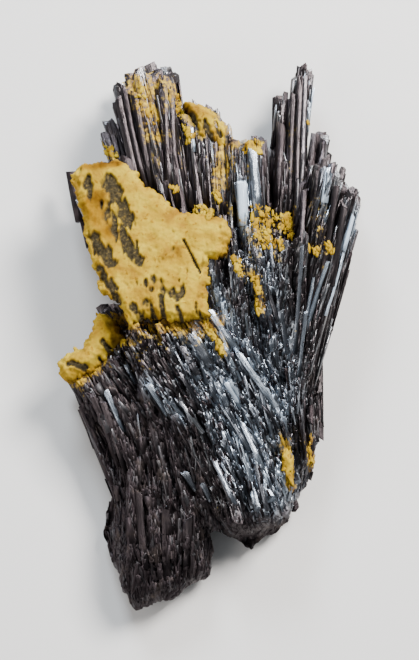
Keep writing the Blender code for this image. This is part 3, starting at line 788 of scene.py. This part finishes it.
outline = np.array(MASS_OUTLINE)
spots, shape = grid_over(outline, MASS_CELL, 0.8)
flat = raised(spots, 0)
depth = inside_by(spots, outline) + 0.35 * fractal(flat, 2.5, 3, 31) + 0.2 * fractal(flat, 0.8, 2, 32)
spots, cells = trimmed_grid(spots, shape, depth, MASS_CELL)
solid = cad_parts["stibnite_crystals"]
corners = np.array([solid.matrix_world @ vertex.co for vertex in solid.data.vertices]) / MM - SHIFT
solid_tree = BVHTree.FromPolygons(corners.tolist(), [tuple(face.vertices) for face in solid.data.polygons])
hits = [met(solid_tree, ray)[0] for ray in sight(*spots.T)]
heights = np.array([MASS_OFF_SOLID if hit is None else hit.z for hit in hits])
heights = blurred(heights.reshape(shape), MASS_BLUR)
run = run_of(spots[:, 0].reshape(shape), spots[:, 1].reshape(shape))
blocks = rng.random((shape[0] // RIB_CELLS + 1, shape[1] // RIB_CELLS + 1))
blocks = np.kron(blocks, np.ones((RIB_CELLS, RIB_CELLS)))[: shape[0], : shape[1]]
ribs = fibres(blocks, *run, 16)
threads = fibres(rng.random(shape), *run, 7)
sheen = fibres(rng.random(shape), *run, 5)
ribs = np.round(ribs * 1.6) / 1.6
swell = fractal(flat, 4.0, 3, 33).reshape(shape)
relief = RIB_HEIGHT * ribs + THREAD_HEIGHT * threads + SWELL_HEIGHT * np.round(swell * 5) / 5
edge = np.sqrt(1 - (1 - np.clip(depth / MASS_ROUND, 0, 1)) ** 2)
top = (heights + np.clip(relief, -HIGHEST_RELIEF, HIGHEST_RELIEF)).ravel()
under = FLOOR + 3.0 * (1 - np.clip(depth / 3.0, 0, 1)) ** 2
top = under + np.maximum(top - under, 0.2) * edge
upper = np.array([seen(right, up, height) for (right, up), height in zip(spots, top)])
lower = np.column_stack((upper[:, :2], under))
points, faces, used = closed_between(upper, lower, cells)
tones = np.tile(np.clip(0.35 + 0.22 * sheen.ravel(), 0, 1), 2)[used]
features = crystal_features(points, np.arange(len(points)), points * 0, tones)
fibre = np.column_stack((threads.ravel() * 0.5, ribs.ravel() * 0.7, sheen.ravel() * 0.3))
features["grain"] = np.tile(fibre, (2, 1))[used]
mass = mesh_of("broken_mass", points, [faces], features)
mass.data.materials.append(stibnite)
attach(mass, "root")
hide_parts("stibnite_crystals")
crystal_faces.append((points, faces))

# The litter of broken crystals.
# Splinters and flakes of stibnite that lie over the mass and between the blades, and give it its sparkle.
# They are bits of the blades, broken short and still grown into the rest.

# The lowest place that is strewn, and how far off the crystals the end of a splinter may be.
LOWEST_LITTER = 2.7
HANGING = 1.6


def hits_through(spots, tree):
    """Where the lines of sight through the spots first meet the crystals, and the normals there."""
    places = []
    normals = []
    for ray in sight(*spots.T):
        place, normal = met(tree, ray)
        if place is not None and place.z > LOWEST_LITTER:
            places.append(place[:])
            normals.append((normal if normal.dot(Vector(-ray)) > 0 else -normal)[:])
    return np.array(places), np.array(normals)


def tree_of(lots):
    """A search tree over lots of points and faces."""
    starts = np.cumsum([0] + [len(points) for points, _ in lots])
    faces = [(faces + start).tolist() for (_, faces), start in zip(lots, starts)]
    return BVHTree.FromPolygons(np.concatenate([points for points, _ in lots]).tolist(), sum(faces, []))


def directions(right, up, normals, tilt, rng):
    """The way a splinter lies at each place: along the crystals, close to the surface, a little astray."""
    across, along = run_of(right, up)
    lines = across[:, None] * RIGHT + along[:, None] * UPWARD
    lines += rng.normal(0, tilt, lines.shape)
    lines -= (0.85 * (lines * normals).sum(1))[:, None] * normals
    return lines / np.linalg.norm(lines, axis=1)[:, None]


def rests_on(ends, tree):
    """Whether each end of a splinter lies close to the crystals seen there, rather than hanging out."""
    hits = [met(tree, end - EYE)[0] for end in ends]
    return np.array([hit is not None and abs(hit.z - end[2]) < HANGING for hit, end in zip(hits, ends)])


def splinters(places, normals, tree, width, length, tilt, flat, roll, rng):
    """Short blades laid on a surface, more or less along the way the crystals run there."""
    right, up = as_seen(places)
    lines = directions(right, up, normals, tilt, rng)
    lengths = rng.uniform(*length, len(places)) * rng.uniform(0.5, 1, len(places))
    centres = places + normals * rng.uniform(-0.15, 0.08, len(places))[:, None]
    ends = centres - lines * lengths[:, None] / 2, centres + lines * lengths[:, None] / 2
    rests = np.all([rests_on(end, tree) for end in ends], axis=0)
    ends = [end[rests] for end in ends]
    count = len(ends[0])
    widths = rng.uniform(*width, count)
    outline = 0.5 * rng.uniform(0.75, 1.15, (count, 5))
    tapers = np.stack((rng.uniform(0.6, 1.0, count), rng.uniform(0.6, 1.0, count)), 1)
    points = (rng.random(count) < 0.4) * rng.uniform(0.3, 1.0, count)
    leans = np.tan(rng.uniform(0, 0.9, count))
    depths = widths * rng.uniform(*flat, count)
    rolls = rng.uniform(-roll, roll, count)
    return prisms(*ends, widths, depths, rolls, tapers, points, leans, outline, 3, rng)


# How many spots are strewn over the whole, what share of those on the upper left is kept, how many on the
# mass are used, and how many thin blades there are.
STREWN = 30000
UPPER_LEFT_SHARE = 0.35
ON_MASS = 14000
THIN = 1900
tree = tree_of(crystal_faces)
spots = rng.uniform((-21, -43), (24, 42), (STREWN, 2))
spots = spots[(spots[:, 0] > 3) | (spots[:, 1] < 20) | (rng.random(STREWN) < UPPER_LEFT_SHARE)]
matted = inside_by(spots, np.array(MASS_OUTLINE)) > -0.2
covered = inside_by(spots, np.array(COVERS["ochre_crust_plateau"].outline)) > 0.5
places, normals = hits_through(spots[matted][:ON_MASS], tree)
upper_places, upper_normals = hits_through(spots[~matted & ~covered], tree)
# What lies on the matted part: how many, their width, length and stray, depth as a share, and roll.
LITTER = [
    (350, (0.8, 1.5), (1.5, 4.5), 0.10, (0.2, 0.4), 0.35),
    (950, (0.3, 0.8), (4, 9), 0.07, (0.3, 0.8), 0.6),
    (4200, (0.2, 0.7), (0.8, 4), 0.16, (0.3, 0.8), 0.9),
]
start = 0
lots = []
for count, *sizes in LITTER:
    some = slice(start, start + count)
    lots.append(splinters(places[some], normals[some], tree, *sizes, rng))
    start += count
crystal_piece("broken_crystals", lots)
fine = splinters(places[start:], normals[start:], tree, (0.15, 0.5), (0.5, 2.4), 0.26, (0.3, 0.8), 0.9, rng)
crystal_piece("splinters", [fine])
# Thin blades lie between the crystals of the upper half.
thin = splinters(
    upper_places[:THIN], upper_normals[:THIN], tree, (0.15, 0.5), (4.0, 12.0), 0.015, (0.4, 1.0), 0.8, rng)
crystal_piece("thin_blades", [thin])

# The blades that stand out.
# Single smooth crystals that catch the light, grown in among the others or lying across them. Each row has a
# start, an end, a width, a lean in degrees and a brightness.
# The brightness is painted into each blade's colour: high values as a painted highlight, low ones as a
# darker, duller face.
STREAKS = [
    ((5.85, 17.3), (5.6, 24.2), 1.4, 16, 1), ((6.4, 25.4), (5.7, 30.3), 1.3, 14, 0.62),
    ((8.2, 18.7), (7.2, 28.8), 1.4, 17, 0.62), ((15.7, 33.6), (16.7, 38.6), 0.5, 20, 0.95),
    ((5, -2.1), (0.5, 4.3), 0.9, 12, 0.68), ((10.9, -10.8), (5.2, -2.6), 0.8, 9, 0.70),
    ((-12.7, -14.7), (-15.4, -8.5), 0.8, 17, 0.66), ((-5.9, -12), (-8.9, -7.3), 0.9, 12, 0.64),
    ((-11, -7.3), (-12.4, -4.3), 0.6, 14, 0.58), ((5.9, -10.8), (3.3, -6.6), 1.5, 9, 0.78),
    ((0.8, -4.4), (-2.3, 0.4), 1.3, 8, 0.55), ((-1.2, -5.8), (-3.6, -1.6), 0.9, 4, 0.45),
    ((21.4, 13.5), (22.9, 19), 0.5, 22, 1), ((18.6, 3.4), (21.4, 13.2), 0.35, 20, 0.85),
    ((18.4, 20.9), (19, 26.3), 0.9, 16, 0.85), ((12.1, -0.2), (7.4, 14), 0.6, 12, 0.45),
    ((12.7, -2.6), (9.7, 15.9), 0.6, 10, 0.55), ((13.8, -2.6), (15, 14.2), 0.6, 15, 0.55),
    ((15, -0.2), (16.8, 9.2), 0.5, 17, 0.62), ((15.6, 1), (18.9, 11.6), 0.6, 18, 0.7),
    ((14.4, -6), (15.6, 4), 0.5, 14, 0.6), ((9, -20.6), (5, -12), 0.7, 9, 0.68),
    ((7, -18), (2.5, -10.5), 0.6, 12, 0.58), ((10.5, -16), (8.5, -8), 0.6, 12, 0.6),
    ((-1.4, -23.6), (-3.3, -21), 1, 10, 0.52), ((0.8, -25.4), (-0.6, -22.6), 0.7, 12, 0.55),
    ((4.6, -26), (1.4, -19.4), 0.6, 11, 0.6), ((9.6, -27), (7.8, -20), 0.6, 11, 0.5),
    ((-1.8, 28.8), (-2.2, 32.6), 0.5, 18, 0.9), ((-9.4, -36), (-10.4, -24), 1.1, -8, 0.18),
    ((-6, -37), (-6.2, -27), 1.3, 6, 0.15), ((-3, -36), (-2.6, -28), 1, 10, 0.28),
    ((-13.4, -20), (-17.6, -9), 0.9, -6, 0.16), ((-12.2, -21), (-16, -10), 1, 8, 0.22),
    ((12, 16), (12.8, 38.4), 1.5, 24, 0.18), ((13.3, 16), (14, 39), 1.5, -14, 0.22),
    ((14.4, 17), (15.1, 41.2), 1.6, 6, 0.30), ((11, 18), (11.8, 33), 1.2, -16, 0.15),
    ((-19.4, 18), (-21, 25.8), 1.3, -20, 0.08), ((-18, 14), (-20, 22), 1, 0, 0.10),
    ((-9.6, 22), (-13.3, 38.6), 2.2, -16, 0.30), ((-7.8, 21), (-10.7, 39), 2.3, 12, 0.26),
    ((-6, 20), (-8, 39.6), 2.2, -8, 0.34), ((-4.8, 20), (-5.9, 39.2), 1.8, 16, 0.28),
    ((-11.4, 20.5), (-15, 31.8), 1.7, 14, 0.22), ((-2.6, 20), (-3.4, 35.4), 1.6, 10, 0.24),
    ((0.2, 20), (-0.6, 32), 1.4, -12, 0.30), ((2.8, 19), (2, 30.4), 1.5, 14, 0.22),
    ((19.6, 8), (21.6, 20.6), 0.9, 8, 0.34), ((18, 8), (20.4, 23.6), 0.9, -10, 0.25),
    ((16.4, 9), (17.4, 25.6), 0.9, 12, 0.32), ((14.6, 8), (15.4, 23), 0.9, -8, 0.22),
]
# How far the ends lie off the crystals, in widths, and how high they are where there are none below.
SUNK_ROOT = -0.25
RAISED_TIP = 0.2
LONE_HEIGHT = 9.0


def slabs(streaks, tree, rng):
    """Flat-faced crystals laid on the others, a broad one as two or more abreast, and their brightness."""
    starts, tips, widths, leans, tones = (np.array(values, float) for values in zip(*streaks))
    ends = []
    for spots, lift in ((starts, SUNK_ROOT), (tips, RAISED_TIP)):
        hits = [met(tree, ray)[0] for ray in sight(*spots.T)]
        heights = [LONE_HEIGHT if hit is None else hit.z + lift * width for hit, width in zip(hits, widths)]
        ends.append(np.array([seen(*spot, height) for spot, height in zip(spots, heights)]))
    counts = np.maximum(1, np.round(widths)).astype(int)
    which = np.repeat(np.arange(len(streaks)), counts)
    aside = np.concatenate([(np.arange(count) + 0.5) / count - 0.5 for count in counts]) * widths[which]
    along = (tips - starts) / np.linalg.norm(tips - starts, axis=1)[:, None]
    across = (along[:, 1:] * RIGHT - along[:, :1] * UPWARD)[which]
    loose = (counts > 1)[which]
    roots, tips = (end[which] + aside[:, None] * across for end in ends)
    tips = roots + (tips - roots) * (1 - 0.07 * loose * rng.random(len(which)))[:, None]
    widths = 1.1 * (widths / counts)[which]
    rolls = np.radians(leans[which] + 14 * loose * rng.uniform(-1, 1, len(which)))
    tones = np.clip(tones[which] + 0.12 * loose * rng.uniform(-1, 1, len(which)), 0, 1)
    angle = np.pi / 2 + 2 * np.pi * np.arange(8) / 8
    outline = np.tile(0.5 / np.maximum(abs(np.cos(angle)), abs(np.sin(angle))), (len(which), 1))
    outline = outline * rng.uniform(0.9, 1.05, outline.shape)
    tapers = np.tile((1.0, 0.86), (len(which), 1))
    leans = rng.uniform(0.2, 0.9, len(which))
    made = prisms(roots, tips, widths, 0.5 + widths * 0.4, rolls, tapers, widths * 0, leans, outline, 5, rng)
    return made, tones


tree = tree_of(crystal_faces)
single, painted_brightness = slabs(STREAKS, tree, rng)
crystal_piece("single_blades", [single], painted_brightness)

# The yellow ochre crusts.
# A powdery coat of another mineral over the tips on the left. It is lumpy and ragged at its edges, and
# dark crystal shows through it where it has worn off. Each patch grew apart from the others.

# How far from its edge a crust is rounded off, how deep it is worn, and how far it reaches below its plane.
CRUST_ROUND = 1.3
WORN_DEPTH = 0.55
CRUST_FOOT = 0.4


def crust_piece(name, cover, thickness, worn, deep, cell, seed):
    """A lumpy plate with a ragged edge: worn and deep are strokes of dark and of brown."""
    middle, turn, corners = plane_of(cover)
    spots, shape = grid_over(corners, cell, 0.8)
    flat = raised(spots, 0)
    ragged = 0.5 * fractal(flat, 2.2, 4, seed) + 0.42 * fractal(flat, 0.8, 2, seed + 1)
    depth = inside_by(spots, corners) + ragged
    spots, cells = trimmed_grid(spots, shape, depth, cell)
    depth = np.maximum(depth, 0)
    world = middle + raised(spots, thickness) @ turn.T
    right, up = as_seen(world)
    flat = raised(spots, 0)
    speckle = fractal(flat * (1.6, 0.7, 1), 1.2, 2, seed + 2)
    wear = smooth(touched(right, up, worn) + 0.7 * speckle, 0.34, 0.80)
    browned = np.clip(touched(right, up, deep) + 0.25 * speckle, 0, 1)
    top = thickness * (0.25 + 0.75 * np.sqrt(np.clip(depth / CRUST_ROUND, 0, 1)))
    top += 0.30 * fractal(flat, 4.5, 2, seed + 3) + 0.16 * fractal(flat, 1.3, 3, seed + 4)
    top += 0.10 * fractal(flat, 0.5, 3, seed + 5) - WORN_DEPTH * wear
    upper = middle + raised(spots, top) @ turn.T
    lower = middle + raised(spots, -CRUST_FOOT) @ turn.T
    points, faces, used = closed_between(upper, lower, cells)
    features = {"worn": np.tile(wear, 2)[used], "deep": np.tile(browned, 2)[used]}
    return mesh_of(name, points, [faces], features)


def ochre_material(name):
    """Powdery yellow ochre, browner in places, and dark where the crystal below shows through."""
    made = Recipe(name)
    patches = made.clouds(made.where, 330, 4)
    grains = made.clouds(made.where, 2600, 2)
    yellow = made.ramp(patches, (0.3, 0.25, 0.13, 0.012), (0.48, 0.38, 0.24, 0.017), (0.7, 0.5, 0.36, 0.032))
    brown = made.ramp(patches, (0.3, 0.1, 0.042, 0.002), (0.5, 0.21, 0.1, 0.004), (0.7, 0.36, 0.2, 0.012))
    dark = made.ramp(grains, (0.35, 0.024, 0.019, 0.011), (0.6, 0.055, 0.042, 0.02), (0.78, 0.2, 0.13, 0.03))
    specks = made.step(made.clouds(made.where, 1300, 4), 0.60, 0.68, 0.75)
    colour = made.blend(specks, made.blend(made.feature("deep"), yellow, brown), brown)
    return made.finished(grains, 0.6, 0.0001, {
        "Base Color": made.blend(made.feature("worn"), colour, dark),
        "Roughness": 0.95,
        "Specular IOR Level": 0.08,
    })


ochre = ochre_material("ochre")
CRUSTS = {
    "ochre_crust_plateau": dict(
        thickness=2.4, cell=0.17, seed=1,
        worn=[((-18.5, 24.8), (-18.2, 22.4), 0.8, 1), ((-15, 24.4), (-12, 18.2), 1.5, 1),
              ((-15.8, 20.4), (-14.2, 17.4), 1.2, 0.8), ((-13.6, 17), (-10.8, 12.2), 1.5, 0.95),
              ((-17.4, 15.4), (-15, 12), 1.5, 0.9), ((-9.2, 8.8), (-8.5, 7.6), 0.7, 0.8),
              ((-8, 8.8), (-4.4, 6.4), 1.1, 0.75), ((-3.9, 8.8), (-3.5, 7.2), 0.6, 0.8),
              ((-6.9, 6.4), (-6.7, 1.6), 0.6, 0.95), ((-16.4, 10.6), (-14.4, 7.6), 1, 0.9),
              ((-14.6, 7.6), (-13.6, 5.4), 0.7, 0.9), ((-11.4, 5), (-9.6, 1.8), 0.8, 0.9),
              ((-9.2, 5.6), (-7.8, 2.2), 0.7, 0.8), ((-4.4, 4.6), (-3.6, 2), 0.6, 0.7),
              ((-1.6, 5.2), (-0.8, 2.8), 0.5, 0.7), ((-3.4, 15.2), (-0.9, 10.2), 0.26, 1.2)],
        deep=[((-19, 26.6), (-13.6, 27.2), 0.8, 1), ((-18, 20.6), (-15, 16.4), 2.2, 1),
              ((-16.8, 22), (-16.4, 18), 1.4, 0.9),
              ((-16.8, 16.4), (-15.6, 10), 1.6, 0.8), ((-2, 19), (1.6, 18.4), 1, 0.7),
              ((3, 16.6), (3.6, 14), 0.8, 0.5), ((-4.6, 14.2), (-3.6, 11.4), 0.5, 0.5)],
    ),
    "ochre_crust_left_arm": dict(
        thickness=3, cell=0.15, seed=2,
        worn=[((-16, -0.6), (-13.6, -4.6), 0.6, 0.9), ((-21.4, -4), (-19, -4.4), 0.6, 0.9),
              ((-16.8, -3), (-15.6, -5.2), 0.4, 0.8)],
        deep=[((-14.6, 1.6), (-13.4, -0.6), 1.2, 0.8), ((-19, -5.4), (-16.8, -5), 1, 0.5)],
    ),
    "ochre_crust_upper_rim": dict(
        thickness=2.6, cell=0.13, seed=3,
        worn=[((-2.2, 35), (-1.4, 32.6), 0.6, 1), ((-0.4, 33.6), (0.6, 31.6), 0.7, 0.9),
              ((1.6, 33.6), (2.4, 31.6), 0.5, 0.8), ((0.4, 31.2), (1.4, 29.8), 0.6, 0.9)],
        deep=[((-3.2, 36), (-2.2, 34), 0.8, 0.9), ((0, 32), (2, 29.6), 1, 0.6)],
    ),
}
for name, shape in CRUSTS.items():
    piece = crust_piece(name + "_powdery", COVERS[name], **shape)
    piece.data.materials.append(ochre)
    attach(piece, "root")
    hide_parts(name)

# The small lumps and crumbs of ochre.
# Bits of the same crust that cling between the blades, each one a rough pellet pressed onto them.


def ball_of(subdivisions):
    """The points and faces of a ball of radius 1."""
    pellet = bmesh.new()
    bmesh.ops.create_icosphere(pellet, subdivisions=subdivisions, radius=1)
    points = np.array([vert.co[:] for vert in pellet.verts])
    faces = np.array([[vert.index for vert in face.verts] for face in pellet.faces])
    pellet.free()
    return points, faces


def lump_piece(name, places, sizes, turns, ball, rough, rng):
    """Rough pellets: where each one is, its half sizes, and its turn about the vertical."""
    points, faces = [], []
    for number, (place, size, turn) in enumerate(zip(places, sizes, turns)):
        spin = np.array(Matrix.Rotation(turn, 3, "Z"))
        seed = rng.random() * 50
        bumps = 1 + rough * fractal(ball[0] * size, 0.9 * min(size), 4, seed)
        points.append(place + (ball[0] * bumps[:, None] * size) @ spin.T)
        faces.append(ball[1] + number * len(ball[0]))
    points, faces = np.concatenate(points), np.concatenate(faces)
    browned = np.repeat(0.6 * rng.random(len(places)) ** 4, len(ball[0]))
    piece = mesh_of(name, points, [faces], {"worn": np.zeros(len(points)), "deep": browned})
    piece.data.materials.append(ochre)
    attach(piece, "root")
    return piece


KNOBS = [
    ("ochre_knob_left", (1.0, 1.9, 1.0), 8),
    ("ochre_knob_prism_tip", (1.3, 1.2, 1.1), 20),
    ("ochre_scale_right_fan", (0.9, 3.0, 0.9), 10),
    ("ochre_scale_lower_right", (0.8, 3.0, 0.9), -6),
]
for name, half_sizes, turn in KNOBS:
    low, high = (np.array(corner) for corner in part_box(name))
    place = (low + high) / 2 / MM - SHIFT
    knob = lump_piece(name + "_powdery", [place], [half_sizes], [math.radians(-turn)], ball_of(4), 0.55, rng)
    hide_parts(name)

surface = tree_of(crystal_faces)
# Where the crumbs lie, as strokes, with how many there are on each: (start, end, radius, count).
CRUMBS = [
    ((7.9, 18.4), (10.2, 14.2), 1.2, 96), ((8, 19.5), (13.5, 17), 1.3, 104),
    ((-1.6, 20.2), (1.2, 18.8), 0.8, 64), ((4.4, 12.4), (5.4, 10), 0.6, 56),
    ((7.8, 16.6), (8.8, 14.8), 0.5, 32), ((7.6, 9.6), (8.4, 7), 0.5, 48),
    ((7.8, 6.2), (8.2, 3.8), 0.35, 32), ((11.6, 15.6), (12, 13.6), 0.4, 28),
    ((12.6, 19), (13.2, 16), 0.6, 56), ((16.4, 13.8), (17.4, 13.4), 0.5, 24),
    ((18.9, 14.8), (19.6, 13.4), 0.5, 28), ((-0.4, 3.2), (2.8, -2.6), 0.5, 80),
    ((-5.4, 23.6), (-4.4, 23), 0.4, 16), ((1.4, 22.6), (2.4, 21.2), 0.5, 32),
    ((6, 31.4), (6.9, 30.6), 0.5, 24), ((7.9, 30.4), (8.7, 29.6), 0.5, 24),
    ((16, 33.6), (16.6, 32.4), 0.4, 24), ((-16.8, 30), (-14.2, 28.2), 0.9, 56),
    ((-13.4, 0.6), (-12.6, -0.8), 0.5, 32), ((12.2, -17.4), (13, -22.6), 0.4, 32),
    ((16, -16.6), (16.4, -20), 0.3, 20), ((-11, 38.6), (-8, 33), 1.2, 24),
    ((-4.6, 37.6), (-3.8, 34), 0.6, 32), ((-3.4, 33), (-2.2, 30.6), 0.6, 32),
]
LOWEST_CRUMB = 4
SMALLEST_CRUMB = 0.09
CRUMB_RANGE = 0.30
places = []
sizes = []
turns = []
for start, end, radius, count in CRUMBS:
    for _ in range(count):
        share, around, out = rng.random(), rng.uniform(0, 2 * math.pi), radius * math.sqrt(rng.random())
        right = start[0] + (end[0] - start[0]) * share + out * math.cos(around)
        up = start[1] + (end[1] - start[1]) * share + out * math.sin(around)
        hit = met(surface, sight(right, up))[0]
        if hit is None or hit.z < LOWEST_CRUMB:
            continue
        size = SMALLEST_CRUMB + CRUMB_RANGE * rng.random() ** 3
        places.append(np.array(hit))
        sizes.append(np.array((size, size * rng.uniform(0.9, 2.6), size * rng.uniform(0.5, 0.9))))
        turns.append(rng.uniform(-0.8, 0.8))
lump_piece("ochre_crumbs", places, sizes, turns, ball_of(2), 0.7, rng)

# The studio.
# A plain pale floor and soft lights, none of it part of the specimen.
floor_mesh = bpy.data.meshes.new("floor")
HALF_FLOOR = 2
corners = [(-HALF_FLOOR, -HALF_FLOOR, 0), (HALF_FLOOR, -HALF_FLOOR, 0),
           (HALF_FLOOR, HALF_FLOOR, 0), (-HALF_FLOOR, HALF_FLOOR, 0)]
floor_mesh.from_pydata(corners, [], [(0, 1, 2, 3)])
floor = bpy.data.objects.new("floor", floor_mesh)
bpy.context.scene.collection.objects.link(floor)
floor.location.z = -0.00005
paper = bpy.data.materials.new("floor")
paper.use_nodes = True
shader = paper.node_tree.nodes["Principled BSDF"]
shader.inputs["Base Color"].default_value = (0.74, 0.73, 0.72, 1)
shader.inputs["Roughness"].default_value = 0.9
floor_mesh.materials.append(paper)

world = bpy.data.worlds.new("studio")
bpy.context.scene.world = world
world.use_nodes = True
sky = world.node_tree.nodes["Background"]
sky.inputs["Color"].default_value = (0.9, 0.95, 1.0, 1)
sky.inputs["Strength"].default_value = 0.22
for name, place, size, power, colour in (
    ("key", (0.22, 0.20, 0.34), 0.16, 5.4, (1.0, 0.97, 0.93)),
    ("window", (-0.10, 0.34, 0.30), 0.14, 2.2, (0.82, 0.91, 1.0)),
    ("fill", (-0.34, -0.20, 0.30), 0.30, 1.4, (1.0, 0.96, 0.92)),
):
    light = bpy.data.lights.new(name, "AREA")
    light.size = size
    light.energy = power
    light.color = colour
    lamp = bpy.data.objects.new(name, light)
    bpy.context.scene.collection.objects.link(lamp)
    lamp.location = place
    lamp.rotation_mode = "QUATERNION"
    lamp.rotation_quaternion = (Vector(place) - Vector((0, 0, 0.01))).to_track_quat("Z", "Y")

camera = bpy.data.cameras.new("camera")
viewer = bpy.data.objects.new("camera", camera)
bpy.context.scene.collection.objects.link(viewer)
bpy.context.scene.camera = viewer
viewer.location = (EYE + SHIFT) * MM
viewer.rotation_mode = "QUATERNION"
viewer.rotation_quaternion = Matrix((RIGHT, UPWARD, BACK)).transposed().to_quaternion()
camera.sensor_width = 36
PICTURE_HEIGHT = 660
MM_PER_PIXEL = 0.1554
camera.lens = camera.sensor_width * EYE_DISTANCE / (PICTURE_HEIGHT * MM_PER_PIXEL)
camera.shift_x = 4 / PICTURE_HEIGHT
camera.shift_y = 7.5 / PICTURE_HEIGHT
camera.clip_start = 0.01
camera.clip_end = 10

bpy.context.view_layer.update()
